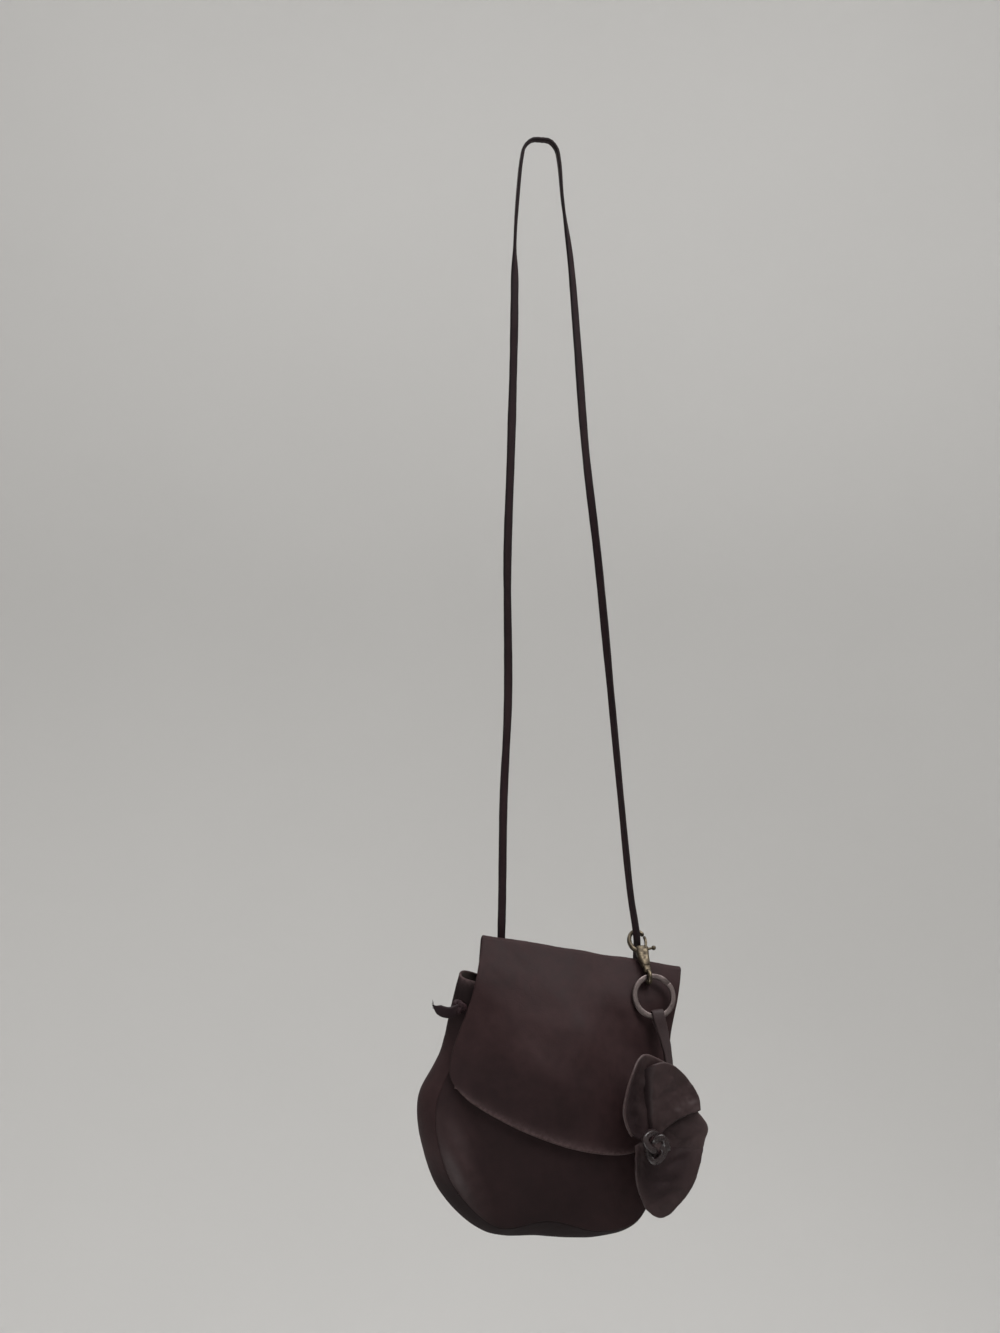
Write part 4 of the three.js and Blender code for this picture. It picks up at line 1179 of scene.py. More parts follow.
    def back_and_flap(self) -> bpy.types.Object:
        """The back from its bottom up to the mouth, then the neck, the fold and the flap to its hem."""
        counts = {"back": 72, "neck": 10, "fold": 14, "flap": 100}
        columns = shares(150)
        stations = (self.side_stations, self.bottom_stations)
        seam_top = self.back_seam(np.array(0.0))
        half, mouth = -seam_top[0], seam_top[1]

        def back_top(a: Array) -> Array:
            """The line across the back at the mouth."""
            return np.stack([half * (2 * a - 1), np.full_like(a, mouth)], axis=-1)

        def flap_top(a: Array) -> Array:
            """The line where the fold passes into the flap."""
            return np.stack([self.fold_half * (2 * a - 1), np.full_like(a, FOLD_END_DROP)], axis=-1)

        place = self.patch(self.back_seam, back_top, stations, 1.0 - shares(counts["back"]), columns)
        back = self.flat_points(place)
        b = np.linspace(0, 1, counts["neck"])[1:, None]
        width = half + b * (self.fold_half - half)
        neck = points(width * (2 * columns - 1), 0.0, -(mouth + b * (FOLD_RADIUS - mouth)))
        turn = FOLD_TURN * np.linspace(0, 1, counts["fold"])[1:, None]
        bend = FOLD_RADIUS * (1 - np.cos(turn))
        fold = points(self.fold_half * (2 * columns - 1), -bend, FOLD_RADIUS * (np.sin(turn) - 1))
        place = self.patch(self.flap_edge, flap_top, (3, 4), np.linspace(0, 1, counts["flap"])[1:], columns)
        flap = self.form_points(FLAP_FORM, place)
        surface = np.concatenate([back, neck, fold, flap])
        side = smooth(6.0, 0.0, np.arange(len(surface)) - len(back) + 3.0)
        sewn = {"first": 1.0, "left": side, "right": side}
        middles = (surface[:-1, :-1] + surface[1:, 1:]) / 2.0
        wide, tall = self.slot_size
        inside = np.abs(np.abs(middles[..., 0]) - self.slot_x) < wide / 2
        inside &= np.abs(middles[..., 2] + self.slot_drop) < tall / 2
        inside &= middles[..., 1] > -2.0
        x, drop = place[..., 0], place[..., 1]
        # Painted shade: the flap darker towards its lower left.
        shaded = np.zeros(surface.shape[:2])
        shaded[-len(flap):] = 0.38 * smooth(55.0, 110.0, drop) * smooth(45.0, -25.0, x)
        uneven = self.unevenness(surface, 37, 0.3)
        # Only the hem is paled: partly wear, partly a painted highlight.
        wall = Wall(
            surface, self.leather, sewn, ~inside, hem=self.hem, painted_shade=shaded, uneven=uneven, pale_edge_sides=("last",))
        made = wall.skin().make("flap_and_back_leather", self.place)
        return dress(made, BAG_LEATHER, "bag", "back_and_flap")

    def build(self) -> list[bpy.types.Object]:
        """Makes the three leathers."""
        return [self.back_and_flap(), self.front(), self.gusset()]


# The strap's two runs and its top bend, with the turn of its width
STRAP_RUNS = Table(
    "x y z turn",
    (-27.6, 2.6, -567, 0),
    (-27.2, 1.4, -541, 0),
    (-26.4, 0, -470, 5),
    (-23.2, 0, -398, 0),
    (-23.6, 0, -299, 5),
    (-21, 0, -220, 10),
    (-18.9, 0, -142, 0),
    (-18.4, 0, -105, 20),
    (-18.1, 0, -71, 80),
    (-16.2, 0, -40, 90),
    (-13.4, 0, -13, 90),
    (-11.2, 0, -4.2, 90),
    (-6, 0, 0.8, 90),
    (0.5, 0, 1.5, 90),
    (7, 0, 0.8, 90),
    (11.8, 0, -4.2, 90),
    (13.9, 0, -13, 90),
    (16.4, 0, -40, 80),
    (22.3, 0, -83, 40),
    (27.1, 0, -140, 15),
    (33.3, 0, -219, 0),
    (42.6, 0, -298, -25),
    (52.6, 0, -399, -55),
    (59.6, 0, -471, -65),
    (66.6, -0.8, -540, -62),
    (69.9, -2.8, -564, -58),
    (71.4, -0.6, -574, -62),
    (72.4, 4.2, -588, -62),
)


@dataclass
class Strap:
    """One long lace: knotted outside the gusset, through the back, over the top and back inside."""

    pouch: Pouch
    width: float = 5.8
    thickness: float = 2.4
    knot_reach: float = 5.0
    knot_size: tuple[float, float, float] = (1.05, 1.25, 1.6)
    knot_heart: float = 3.2
    rib_length: float = 3.4
    rib_depth: float = 0.13
    bend_reach: float = 17.0
    frays: int = 7
    tail_ways: tuple[tuple[float, float, float], ...] = (
        (0.0, -1.0, 0.0), (-6.5, -2.0, -3.0), (-11.0, -2.5, -2.4), (-14.8, -2.0, -0.6), (-17.6, -1.5, 1.0))
    inner_knot: tuple[float, float, float] = (54.0, -11.0, -44.0)

    def ways(self) -> tuple[Array, Array]:
        """Waypoints of the lace and the direction of its width at each.

        Returns:
            Places and sides in the part's frame.
        """
        half = unit(RIGHT - 0.7 * BACK)
        centre, outward = self.pouch.hole_centre()
        knot = centre + self.knot_reach * outward
        x = self.pouch.slot_x
        left = [
            (knot + 1.5 * outward, UP),
            (knot, UP),
            (centre, UP),
            (centre - 6.0 * outward, UP),
            ((-63, -9.5, -43), UP),
            ((-56, -5.5, -41.4), unit(half + UP)),
            ((-x, -0.9, -self.pouch.slot_drop), RIGHT),
            ((-x, 2, -35), RIGHT),
            ((-54.5, 2.4, -26), RIGHT),
        ]
        right = [
            ((48.5, 4.2, -16), half),
            ((51.5, 2.8, -28), RIGHT),
            ((x, 2, -35), RIGHT),
            ((x, -0.9, -self.pouch.slot_drop), RIGHT),
            ((x, -5.5, -42.4), RIGHT),
            (self.inner_knot, RIGHT),
        ]
        place = self.pouch.place
        turn = np.radians(STRAP_RUNS["turn"])
        runs = points(STRAP_RUNS["x"], STRAP_RUNS["y"], STRAP_RUNS["z"])
        run_sides = points(np.cos(turn), np.sin(turn), 0.0)
        places = [place.out([p for p, _ in left]), runs, place.out([p for p, _ in right])]
        sides = [place.aim([d for _, d in left]), run_sides, place.aim([d for _, d in right])]
        return np.concatenate(places), np.concatenate(sides)

    def lace(self, skin: Skin) -> None:
        """The long lace, grooved along its middle and ribbed where it bends over the top."""
        path, sides = path_through(*self.ways(), 1.6)
        section = strip_section(self.width, self.thickness, 28, 0.2)
        length = run(path[None], 1)[0]
        top = np.argmax(path[:, 2])
        bend = np.exp(-(((length - length[top]) / self.bend_reach) ** 2))
        ribs = 1.0 + self.rib_depth * bend * np.sin(2.0 * np.pi * length / self.rib_length)
        uneven = 1.0 + 0.035 * undulate(length, 0.0 * length, 5, 90.0, 14.0)
        outline = section * np.stack([uneven, ribs], axis=-1)[:, None]
        rings = carry(path, unit(sides), outline)
        across = section[:, 0] / (self.width / 2.0)
        core = np.exp(-((across / 0.3) ** 2)) * 0.75
        wear = np.clip(np.abs(across) - 0.86, 0.0, 1.0) * 2.2
        skin.loft(rings, core=core[None], wear=wear[None])

    def knot(self, skin: Skin, centre: Array, axis: Array) -> None:
        """An overhand knot drawn tight: the lace carried round a small trefoil.

        Args:
            skin: The strap's skin.
            centre: Middle of the knot.
            axis: Direction of the lace through it.
        """
        count = 140
        t = 2.0 * np.pi * np.arange(count) / count
        first = unit(np.cross(axis, [0.2, 1.0, 0.1]))
        second = np.cross(axis, first)
        wide, tall, deep = self.knot_size
        a = wide * (np.sin(t) + 2.0 * np.sin(2 * t))
        b = tall * (np.cos(t) - 2.0 * np.cos(2 * t))
        c = -deep * np.sin(3 * t)
        path = centre + a[:, None] * first + b[:, None] * second + c[:, None] * axis
        section = strip_section(4.0, 3.0, 20, 0.12)
        rings = carry(path, axis, section, closed=True)
        across = np.abs(section[:, 0]) / 2.0
        skin.loft(rings, closed=True, core=(0.15 + 0.4 * np.exp(-((across / 0.35) ** 2)))[None])
        skin.loft(ball(centre, (self.knot_heart,) * 3, 10, 16), core=0.15)

    def tail(self, skin: Skin) -> None:
        """The short free end: a thick tongue that droops from the knot, turns up and frays."""
        centre, outward = self.pouch.hole_centre()
        knot = self.pouch.place.out(centre + self.knot_reach * outward)
        ways = knot + np.array(self.tail_ways)
        up = np.tile([0.35, 0.0, 1.0], (len(ways), 1))
        path, sides = path_through(ways, up, 0.4)
        share = np.linspace(0.0, 1.0, len(path))
        tall = (0.95 + 0.35 * np.sin(np.pi * share)) * np.sqrt(1.0 - 0.8 * smooth(0.78, 1.0, share))
        section = strip_section(self.width, 1.3 * self.thickness, 22, 0.1)
        outline = section * np.stack([tall, 1.0 - 0.5 * smooth(0.7, 1.0, share)], axis=-1)[:, None]
        skin.loft(carry(path, sides, outline), core=0.05)
        draw = np.random.default_rng(41)
        leans = draw.normal(0.0, 0.35, (self.frays, 3))
        for lean, rise in zip(leans, np.linspace(-0.6, 2.0, self.frays)):
            start = path[-4] + np.array([0.0, 0.0, 0.5 * rise])
            middle = start + np.array([-1.8, 0.0, 0.5 + 0.5 * rise]) + 0.4 * lean
            end = middle + np.array([-0.3, 0.0, 1.0 + 1.1 * rise]) + 0.7 * lean
            curl, _ = path_through(np.array([start, middle, end]), np.zeros((3, 1)), 0.4)
            thin = np.linspace(0.38, 0.08, len(curl))[:, None, None]
            skin.loft(carry(curl, BACK, thin * circle(6)))

    def build(self) -> list[bpy.types.Object]:
        """Makes the strap with its knots and tail as one piece."""
        skin = Skin()
        self.lace(skin)
        centre, outward = self.pouch.hole_centre()
        place = self.pouch.place
        self.knot(skin, place.out(centre + self.knot_reach * outward), place.aim(outward))
        self.knot(skin, place.out(self.inner_knot), -BACK)
        self.tail(skin)
        return [dress(skin.make("strap_lace"), STRAP_LEATHER, "bag", "strap")]


# The clasp's body from its neck up to its cheeks: the two sides, half depth and depth of the notch
CLASP_BODY = Table(
    "z left right depth notch",
    (3.4, -1.8, 1.8, 1.7, 0),
    (4.2, -2.3, 2.3, 2.0, 0),
    (7.2, -2.6, 2.5, 2.2, 0),
    (8.2, -3.1, 2.3, 2.5, 0),
    (9.4, -3.6, 2.6, 3.0, 0),
    (15.6, -5.0, 3.1, 3.1, 0),
    (16.8, -5.1, 3.2, 3.1, 0),
    (17.0, -5.2, 3.3, 3.1, 4.0),
    (19.5, -5.5, 3.5, 3.1, 4.2),
    (22.6, -5.2, 3.5, 3.0, 4.2),
    (23.4, -4.9, 2.9, 2.7, 3.6),
    (23.7, -4.6, 2.4, 2.4, 3.1),
)


@dataclass
class Clasp:
    """The lobster clasp: claw, body with two cheeks, eye and sprung lever."""

    place: Place
    claw: tuple[float, float] = (-2.9, 28.4)
    claw_middle: tuple[float, float] = (6.0, 7.8)
    claw_half: float = 1.3
    claw_depth: float = 2.0
    claw_ends: tuple[float, float] = (31.0, 318.0)
    gate_ends: tuple[float, float] = (-56.0, 27.5)
    gate_half: float = 0.95
    gate_depth: float = 1.3
    pivot: tuple[float, float] = (1.7, 21.8)
    nub: tuple[float, float] = (8.1, 22.6)
    eye_radius: float = 4.2
    eye_wire: float = 1.5
    notch_half: float = 1.6
    pin_half: float = 3.25
    pin_radius: float = 0.95
    boss_radius: float = 2.1
    nub_radius: float = 1.7

    def arc(self, ends: tuple[float, float], half: Array, depth: Array, count: int) -> Array:
        """Part of the claw's oval, an oval section carried round it.

        Args:
            ends: Angles of its two ends.
            half: Half width of the section along the path.
            depth: Half depth of the section along the path.
            count: How many rings there are.

        Returns:
            Rings of points.
        """
        turn = np.radians(np.linspace(*ends, count))
        x = self.claw[0] + self.claw_middle[0] * np.cos(turn)
        z = self.claw[1] + self.claw_middle[1] * np.sin(turn)
        path = points(x, 0.0, z)
        oval = squared(2.0 * np.pi * np.arange(20) / 20, (0.7, 0.7))
        section = oval * np.stack([depth, half], axis=-1)[:, None]
        return carry(path, BACK, section)

    def body_rings(self) -> Array:
        """The body: a notched rounded oblong carried up its axis, the notch deep between the cheeks."""
        z = np.concatenate([np.linspace(0, 6, 26)[:-1], np.linspace(6, 7, 4)[:-1], np.linspace(7, 11, 26)])
        left, right = CLASP_BODY.along("left", z), CLASP_BODY.along("right", z)
        depth, notch = CLASP_BODY.along("depth", z), np.clip(CLASP_BODY.along("notch", z), 0.0, None)
        turn = np.radians(np.linspace(28, 332, 30))
        x, y = squared(turn, (0.55, 0.55)).T
        middle, half = (left + right) / 2.0, (right - left) / 2.0
        shell = points(middle[:, None] + half[:, None] * x, depth[:, None] * y, 0.0)
        gap = self.notch_half
        lips = np.array([-1.0, -1.0, 0.0, 1.0, 1.0])
        share = np.array([0.0, 1.0, 1.0, 1.0, 0.0])
        edge = shell[:, -1:, 0] * np.ones(5)
        inside = points(edge - notch[:, None] * share, np.minimum(depth, gap)[:, None] * lips, 0.0)
        rings = np.concatenate([shell, inside], axis=1)
        rings[..., 2] = CLASP_BODY.along("z", z)[:, None]
        return rings

    def body(self) -> bpy.types.Object:
        """The claw, the body, the eye and the lever's pin as one piece."""
        skin = Skin()
        count = 70
        share = np.linspace(0, 1, count)
        lobe = 1.0 + 0.16 * np.exp(-(((share - 0.5) / 0.2) ** 2))
        ends = round_end(share, 0.05, 0.12)
        skin.loft(self.arc(self.claw_ends, self.claw_half * lobe * ends, self.claw_depth * ends, count))
        skin.loft(self.body_rings())
        eye = self.eye_radius * circle(48)
        ring = points(0.0, eye[:, 0], eye[:, 1])
        wire = self.eye_wire * circle(18)
        skin.loft(carry(ring, RIGHT, wire, closed=True), closed=True)
        x, z = self.pivot
        skin.loft(rod((x, -self.pin_half, z), (x, self.pin_half, z), (self.pin_radius,) * 4, 18))
        return dress(skin.make("clasp_claw", self.place), BRASS, "bag", "clasp_body")

    def gate(self) -> bpy.types.Object:
        """The lever: an arm that closes the claw, its round boss, and a thumb nub on a stem."""
        skin = Skin()
        count = 40
        share = np.linspace(0, 1, count)
        ends = round_end(1.0 - share, 0.08, 0.2)
        skin.loft(self.arc(self.gate_ends, self.gate_half * ends, self.gate_depth * ends, count))
        x, z = self.pivot
        nub = (self.nub[0], 0.0, self.nub[1])
        skin.loft(rod((x, -self.gate_depth, z), (x, self.gate_depth, z), (self.boss_radius,) * 4, 24))
        skin.loft(rod((x + 1.2, 0.0, z), nub, (1.1, 0.9, 0.8, 0.9), 14))
        skin.loft(ball(nub, (self.nub_radius,) * 3, 12, 18))
        return dress(skin.make("clasp_lever", self.place), BRASS, "clasp_gate", "clasp_gate")

    def build(self) -> list[bpy.types.Object]:
        """Makes both pieces."""
        return [self.body(), self.gate()]


@dataclass(frozen=True)
class Petal:
    """A petal of the flower.

    Attributes:
        layer: How far forward of the flower's middle it starts.
        root: Turns at which its root begins and ends round the stem.
        rim: Its rim by turn, reach from the stem and lift forward.
        seed: Seed of its crumpling.
        tuck: How far its last edge is tucked back.
        roll: Share of the petal that the tuck bends.
        painted_darkness: How dark its hollow and its tucked edge are painted, as shade.
    """

    layer: float
    root: tuple[float, float]
    rim: Table
    seed: int
    tuck: float
    roll: float
    painted_darkness: tuple[float, float]


# Left petal with the pale rim, upper right petal, right petal and lower petal
PETALS = (
    Petal(0.6, (98, 186), Table(
        "turn reach lift",
        (77, 50, 1),
        (87, 54, 4),
        (95, 57, 7),
        (101, 55, 10),
        (110, 48, 13),
        (121, 40, 14),
        (133, 33, 14),
        (146, 24.5, 12),
        (160, 16.5, 6),
    ), 61, 0.0, 1.0, (0.9, 0.0)),
    Petal(4.2, (48, 104), Table(
        "turn reach lift",
        (30, 37.8, 0),
        (41, 42.1, -1),
        (54.5, 45.2, -1),
        (65.5, 48.3, 0.5),
        (76, 51, 2.5),
        (84, 51.5, 4),
        (92, 49.5, 4.5),
        (100, 45, 2),
    ), 62, 4.2, 0.26, (0.0, 0.9)),
    Petal(0.6, (-50, 92), Table(
        "turn reach lift",
        (-43, 32, -2),
        (-18, 34.8, -1),
        (-3, 36, 1),
        (10, 38.5, 2),
        (27, 36, 0),
    ), 63, 0.0, 1.0, (0.4, 0.0)),
    Petal(4.2, (-182, -10), Table(
        "turn reach lift",
        (-168, 13, 0),
        (-150, 15, 1),
        (-127, 21.5, 1.5),
        (-106, 36.5, -0.5),
        (-95, 46.5, -3),
        (-85, 51.5, -5),
        (-77, 50.5, -5),
        (-64, 45, -3),
        (-50, 41, -1),
        (-30, 36.5, 0),
        (-9, 35, 1),
    ), 64, 5.2, 0.45, (0.8, 0.0)),
)


# Creases of the petals and places of the knot's three lobes, from the flower's middle
CREASES = Table(
    "x z turn length width height",
    (14, -15, 12, 13, 2.6, -1.4),
    (7, -27, -6, 13, 3.0, -1.6),
    (2, -39, 20, 10, 2.8, -1.0),
    (20, -6, 35, 12, 2.6, -0.9),
    (16, 24, 55, 18, 4.0, -1.1),
    (24, 32, 30, 9, 2.6, 0.8),
    (-6, 30, 100, 20, 3.4, -1.6),
)
LOBES = Table(
    "x z reach",
    (-8, 5, 1.5),
    (6, -2, 2.5),
    (-2.6, -11, 0.5),
)


@dataclass
class Charm:
    """What hangs from the clasp's eye: split ring, leather thong and a flower of crinkled leather."""

    place: Place
    flower: Place
    ring_radius: float = 13.9
    ring_band: float = 3.6
    ring_thickness: float = 2.4
    ring_offset: float = 9.5
    thong_width: float = 8.4
    thong_thickness: float = 1.6
    thong_narrow: float = 0.55
    loop_turn: float = 5.0
    petal_leather: float = 1.6
    petal_root: float = 3.0
    stem_radius: float = 2.6
    stem_back: float = 2.9
    stem_front: float = 9.6
    knot_radius: float = 5.4
    knot_lace: float = 2.2
    knot_turn: float = 18.0
    knot_heart: tuple[float, float, float] = (6.2, 4.8, 6.2)
    lobe_width: float = 5.0

    def ring_centre(self) -> Array:
        """Middle of the split ring, whose wire passes through the clasp's eye."""
        turn = np.radians(self.ring_offset)
        return self.ring_radius * np.array([np.sin(turn), 0.0, -np.cos(turn)])

    def ring(self) -> bpy.types.Object:
        """The split ring: a flat band wound two turns, stepping from one layer to the next."""
        start = np.radians(35.0)
        turn = start + np.linspace(0.0, 4.0 * np.pi, 260)
        share = (turn - start) / (2.0 * np.pi)
        layer = self.ring_thickness / 4.0
        height = layer * (2.0 * smooth(0.93, 1.07, share) - 1.0)
        out = points(np.cos(turn), 0.0, np.sin(turn))
        path = self.ring_centre() + self.ring_radius * out + points(0.0 * turn, -height, 0.0 * turn)
        section = strip_section(self.ring_band, 2.0 * layer - 0.06, 20, 0.0)
        skin = Skin()
        skin.loft(carry(path, out, section))
        return dress(skin.make("split_ring_coil", self.place), NICKEL, "charm", "split_ring")

    def thong(self) -> bpy.types.Object:
        """The thong: doubled round the ring, then down behind the petals to the stem, narrowing."""
        turn = np.radians(self.loop_turn)
        out = np.array([np.sin(turn), 0.0, -np.cos(turn)])
        across = np.array([-out[2], 0.0, out[0]])
        wire = self.ring_centre() + self.ring_radius * out
        half = self.thong_thickness / 2.0
        over = self.ring_band / 2.0 + half + 1.5
        beside = self.ring_thickness / 2.0 + half + 0.5
        loop = Table(
            "forward up breadth sway",
            (1.6, -38, self.thong_narrow, 0.4),
            (1.3, -28, 0.62, 1.4),
            (1.3, -18, 0.78, 1.5),
            (1.6, -9, 0.92, 0.9),
            (beside, -0.5, 1, 0),
            (beside * 0.8, over * 0.76, 1, 0),
            (0, over, 1, 0),
            (-beside * 0.8, over * 0.76, 1, 0),
            (-beside, -0.5, 1, 0),
            (-1.4, -9, 0.92, 0.9),
            (-1.2, -18, 0.78, 1.5),
            (-1.6, -28, 0.62, 1.4),
        )
        ways = wire - loop["up"][:, None] * out + loop["sway"][:, None] * across
        ways[:, 1] -= loop["forward"]
        behind = self.stem_back + 0.3 + half
        ends = self.flower.out([(9, behind, 28), (2, behind, 6), (-1, behind, -4)])
        sides = np.concatenate([np.tile(across, (len(loop), 1)), np.tile(RIGHT, (3, 1))])
        breadth = np.concatenate([loop["breadth"], np.full(3, self.thong_narrow)])
        path, values = path_through(
            np.concatenate([ways, ends]), np.concatenate([sides, breadth[:, None]], axis=1), 0.5)
        section = strip_section(self.thong_width, self.thong_thickness, 26, 0.0)
        wide = np.stack([values[:, 3], np.ones(len(path))], axis=-1)
        rings = carry(path, unit(values[:, :3]), section * wide[:, None])
        edge = np.clip(np.abs(section[:, 0]) / (self.thong_width / 2.0) - 0.8, 0.0, 1.0) * 3.0
        skin = Skin()
        skin.loft(rings, wear=0.4 * edge[None], core=0.4)
        return dress(skin.make("thong_leather", self.place), CHARM_LEATHER, "charm", "charm_thong")

    def petal(self, number: int, petal: Petal) -> bpy.types.Object:
        """A petal: it winds from its root round the stem out to its rim, lifted, crinkled and creased.

        Args:
            number: Its number.
            petal: Its table.

        Returns:
            The object.
        """
        rows, columns = 64, 84
        b, a = np.meshgrid(np.linspace(0, 1, rows), np.linspace(0, 1, columns), indexing="ij")
        row = a * (len(petal.rim) - 1)
        first, last = petal.root
        root_turn = first + a * (last - first)
        turn = np.radians(root_turn + b * (petal.rim.along("turn", row) - root_turn))
        out = self.petal_root + b * (petal.rim.along("reach", row) - self.petal_root)
        crinkle = 0.7 * b * np.sin(9.0 * a + 5.0 * b + first)
        x, z = out * np.cos(turn), out * np.sin(turn)
        crumple = 0.4 * undulate(x, z, petal.seed, 18.0, 9.0)
        crumple += 0.09 * undulate(x, z, petal.seed + 9, 6.0, 3.0)
        height = petal.layer + petal.rim.along("lift", row) * b ** 1.9 + crinkle
        height += crumple * smooth(0.0, 0.35, b) + humps(CREASES, "z", x, z) * smooth(0.2, 0.5, b)
        rolled = np.clip((a - 1.0) / petal.roll + 1.0, 0.0, 1.0)
        height -= petal.tuck * rolled * rolled * smooth(0.05, 0.4, b)
        surface = points(x, -height, z)
        # Painted shade: darker in the petal's hollow and along its tucked edge.
        hollow = petal.painted_darkness[0] * smooth(0.1, 0.4, a) * smooth(0.02, 0.3, b) * (1.0 - smooth(0.62, 0.96, b))
        tucked = petal.painted_darkness[1] * smooth(0.1, 0.8, rolled)
        # Untucked petals get paler rims: partly wear, partly a painted highlight.
        pale_edge_sides = () if petal.tuck > 0.0 else ("last",)
        wall = Wall(surface, self.petal_leather, {}, pale_edge_sides=pale_edge_sides, painted_shade=np.maximum(hollow, tucked))
        made = wall.skin().make(f"petal_{number}_leather", self.place.holding(self.flower))
        return dress(made, CHARM_LEATHER, "charm", f"petal_{number}")

    def lobe_pull(self, path: Array) -> Array:
        """Moves of a knot's path that draw its three even lobes out to the uneven places of the table."""
        even = np.radians(self.knot_turn + np.array([120.0, 0.0, 240.0]))
        reach = 1.5 * self.knot_radius
        lobes = points(reach * np.cos(even), -self.stem_front, reach * np.sin(even))
        aims = points(LOBES["x"], -self.stem_front - LOBES["reach"], LOBES["z"])
        gap = np.linalg.norm(path[:, None] - lobes[None], axis=-1)
        return (np.exp(-((gap / self.lobe_width) ** 2))[..., None] * (aims - lobes)[None]).sum(axis=1)

    def knot(self) -> bpy.types.Object:
        """The centre: a lace carried round a trefoil on a round heart, and the stem through the petals."""
        count = 220
        u = 4.0 * np.pi * np.arange(count) / count
        wind = 1.5 * u
        reach = self.knot_radius * (2.0 + np.cos(wind)) * 0.5
        turn = u + np.radians(self.knot_turn)
        rise = self.knot_radius * np.sin(wind) * 0.5
        path = points(reach * np.cos(turn), -self.stem_front - rise, reach * np.sin(turn))
        path += self.lobe_pull(path)
        section = strip_section(2.5 * self.knot_lace, 2.0 * self.knot_lace, 18, 0.1)
        skin = Skin()
        skin.loft(carry(path, BACK, section, closed=True), closed=True)
        skin.loft(ball((0, -self.stem_front, 0), self.knot_heart, 14, 22), core=0.4)
        radii = (self.stem_radius,) * 4
        skin.loft(rod((0, self.stem_back, 0), (0, -self.stem_front, 0), radii, 18))
        made = skin.make("flower_knot_lace", self.place.holding(self.flower))
        return dress(made, LACE_LEATHER, "charm", "flower_knot")

    def build(self) -> list[bpy.types.Object]:
        """Makes the ring, the thong, the petals and the knot."""
        petals = [self.petal(i + 1, petal) for i, petal in enumerate(PETALS)]
        return [self.ring(), self.thong(), *petals, self.knot()]


@dataclass(frozen=True)
class Lamp:
    """A soft square lamp aimed at a point."""

    name: str
    place: tuple[float, float, float]
    aim: tuple[float, float, float]
    size: float
    power: float
    spread: float


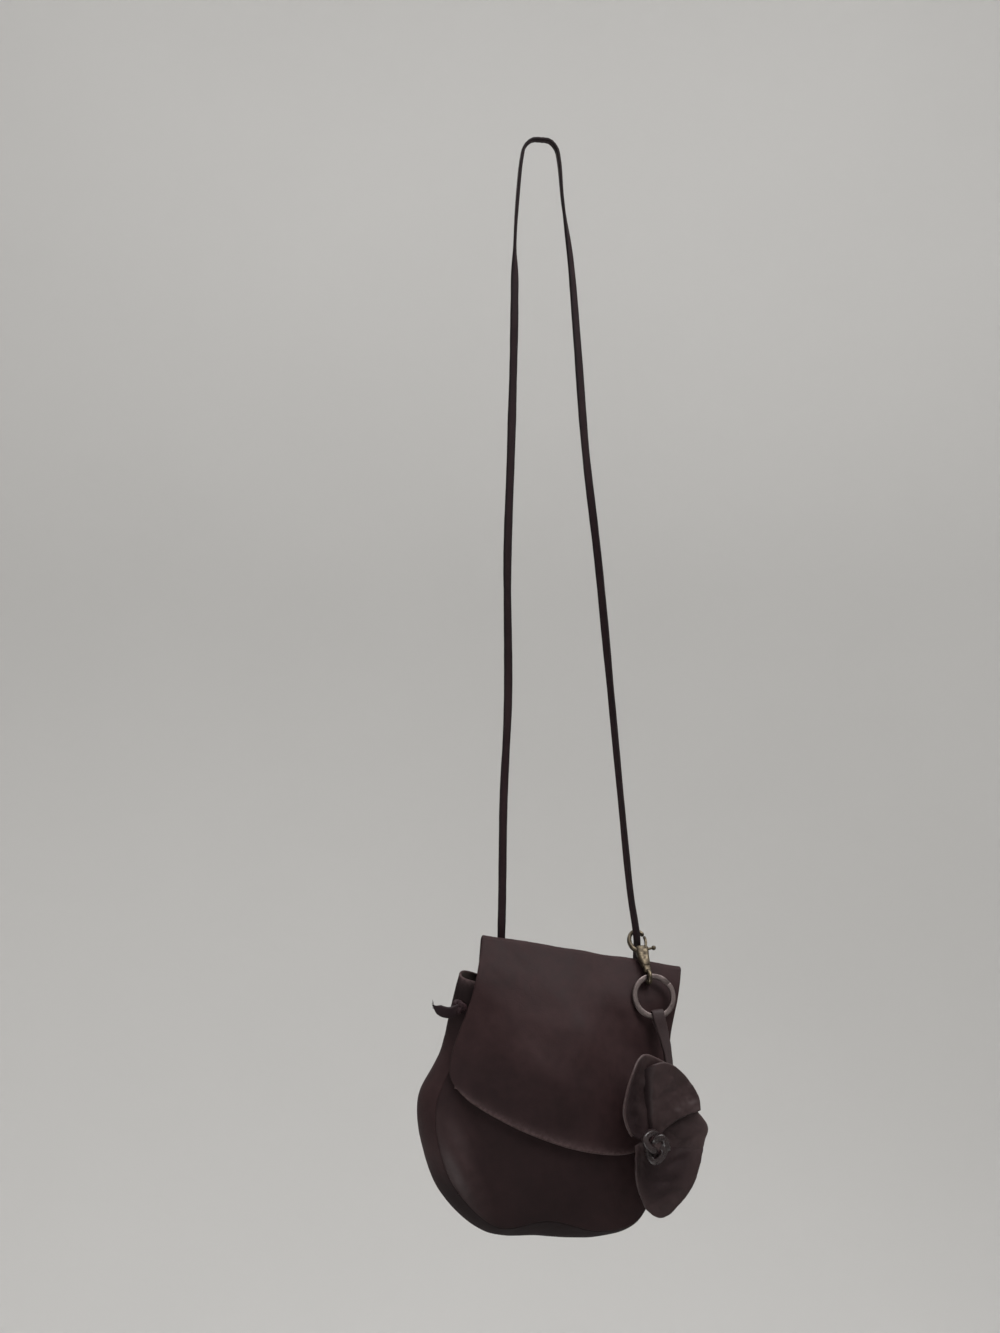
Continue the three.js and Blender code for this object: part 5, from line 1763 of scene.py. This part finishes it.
@dataclass
class Studio:
    """Camera, soft lamps and a pale sweep that is floor and backdrop in one."""

    camera_place: tuple[float, float, float] = (-0.17672, -0.88294, -0.37464)
    camera_turn: float = -9.5
    focal_pixels: float = 1260.0
    image_height: float = 1333.0
    sensor: float = 36.0
    floor: float = -1.7
    wall: float = 2.2
    height: float = 4.0
    bend: float = 1.5
    sky: Colour = (1.2, 1.19, 1.17)
    lamps: tuple[Lamp, ...] = (
        Lamp("top_lamp", (0.45, -0.5, 0.5), (0.03, 0.0, -0.65), 0.8, 4.3, 90.0),
        Lamp("low_lamp", (-0.62, -0.58, -1.14), (-0.08, -0.05, -0.71), 0.4, 0.24, 40.0),
        Lamp("back_lamp", (-0.3, 0.9, 1.0), (0.03, 0.0, -0.65), 0.9, 3.0, 90.0),
        Lamp("wall_lamp", (0.1, 0.5, 1.0), (0.3, 2.1, -0.8), 1.5, 8.0, 150.0),
    )

    def camera(self) -> None:
        """The camera, level, at the photograph's angle and with its focal length."""
        data = bpy.data.cameras.new("camera")
        data.sensor_width = self.sensor
        data.lens = self.sensor * self.focal_pixels / self.image_height
        data.clip_start = 0.01
        data.clip_end = 50.0
        made = bpy.data.objects.new("camera", data)
        made.location = self.camera_place
        made.rotation_euler = (np.pi / 2.0, 0.0, np.radians(self.camera_turn))
        bpy.context.scene.collection.objects.link(made)
        bpy.context.scene.camera = made

    def light(self) -> None:
        """The lamps and an even pale sky."""
        for lamp in self.lamps:
            data = bpy.data.lights.new(lamp.name, "AREA")
            data.shape = "SQUARE"
            data.size = lamp.size
            data.energy = lamp.power
            data.spread = np.radians(lamp.spread)
            made = bpy.data.objects.new(lamp.name, data)
            way = Vector(lamp.aim) - Vector(lamp.place)
            made.location = lamp.place
            made.rotation_euler = way.to_track_quat("-Z", "Y").to_euler()
            bpy.context.scene.collection.objects.link(made)
        world = bpy.data.worlds.new("pale_sky")
        world.use_nodes = True
        world.node_tree.nodes["Background"].inputs["Color"].default_value = (*self.sky, 1.0)
        bpy.context.scene.world = world
        bpy.context.scene.view_settings.view_transform = "Standard"

    def sweep(self) -> None:
        """The sweep: a profile of floor, round bend and wall, turned all the way round the object."""
        rise = np.linspace(0.0, np.pi / 2.0, 24)
        out = np.concatenate([[0.02, 0.6], self.wall - self.bend * (1.0 - np.sin(rise)), [self.wall]])
        up = np.concatenate([[0.0, 0.0], self.bend * (1.0 - np.cos(rise)), [self.height]]) + self.floor
        east, north = circle(96).T
        grid = points(out[:, None] * east, out[:, None] * north, up[:, None]) / MM
        index = np.arange(grid.shape[0] * grid.shape[1]).reshape(grid.shape[:2])
        ahead = np.roll(index, -1, axis=1)
        faces = np.stack([index[:-1], index[1:], ahead[1:], ahead[:-1]], axis=-1)
        skin = Skin()
        skin.add(grid.reshape(-1, 3), faces.reshape(-1, 4).tolist() + [index[0].tolist()])
        made = skin.make("studio_sweep")
        made.data.materials.append(SWEEP_PAINT.material())
        made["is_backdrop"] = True

    def build(self) -> None:
        """Sets up the studio."""
        self.camera()
        self.light()
        self.sweep()


def write_sizes() -> None:
    """Works out the solids' box and the dressed part's box as plain lists."""
    boxes = {"cad": CAD_BOX, "visual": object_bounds()}
    {name: [list(corner) for corner in box] for name, box in boxes.items()}


def main() -> None:
    """Builds the studio and each sub-assembly in order, and reports each piece."""
    logging.basicConfig(level=logging.INFO, format="%(message)s")
    Studio().build()
    pouch = Pouch(Place.turned(FOLD_CENTRE, Axis.Y, BAG_TILT))
    clasp = Clasp(Place.turned(CLASP_EYE, Axis.X, -CLASP_LEAN))
    flower = Place.turned(FLOWER_CENTRE, Axis.X, CHARM_LEAN - FLOWER_LEAN)
    charm = Charm(Place.turned(CLASP_EYE, Axis.X, -CHARM_LEAN), flower)
    for assembly in (pouch, Strap(pouch), clasp, charm):
        for piece in assembly.build():
            log.info("%s: %d faces", piece.name, len(piece.data.polygons))
    write_sizes()


if __name__ == "__main__":
    main()
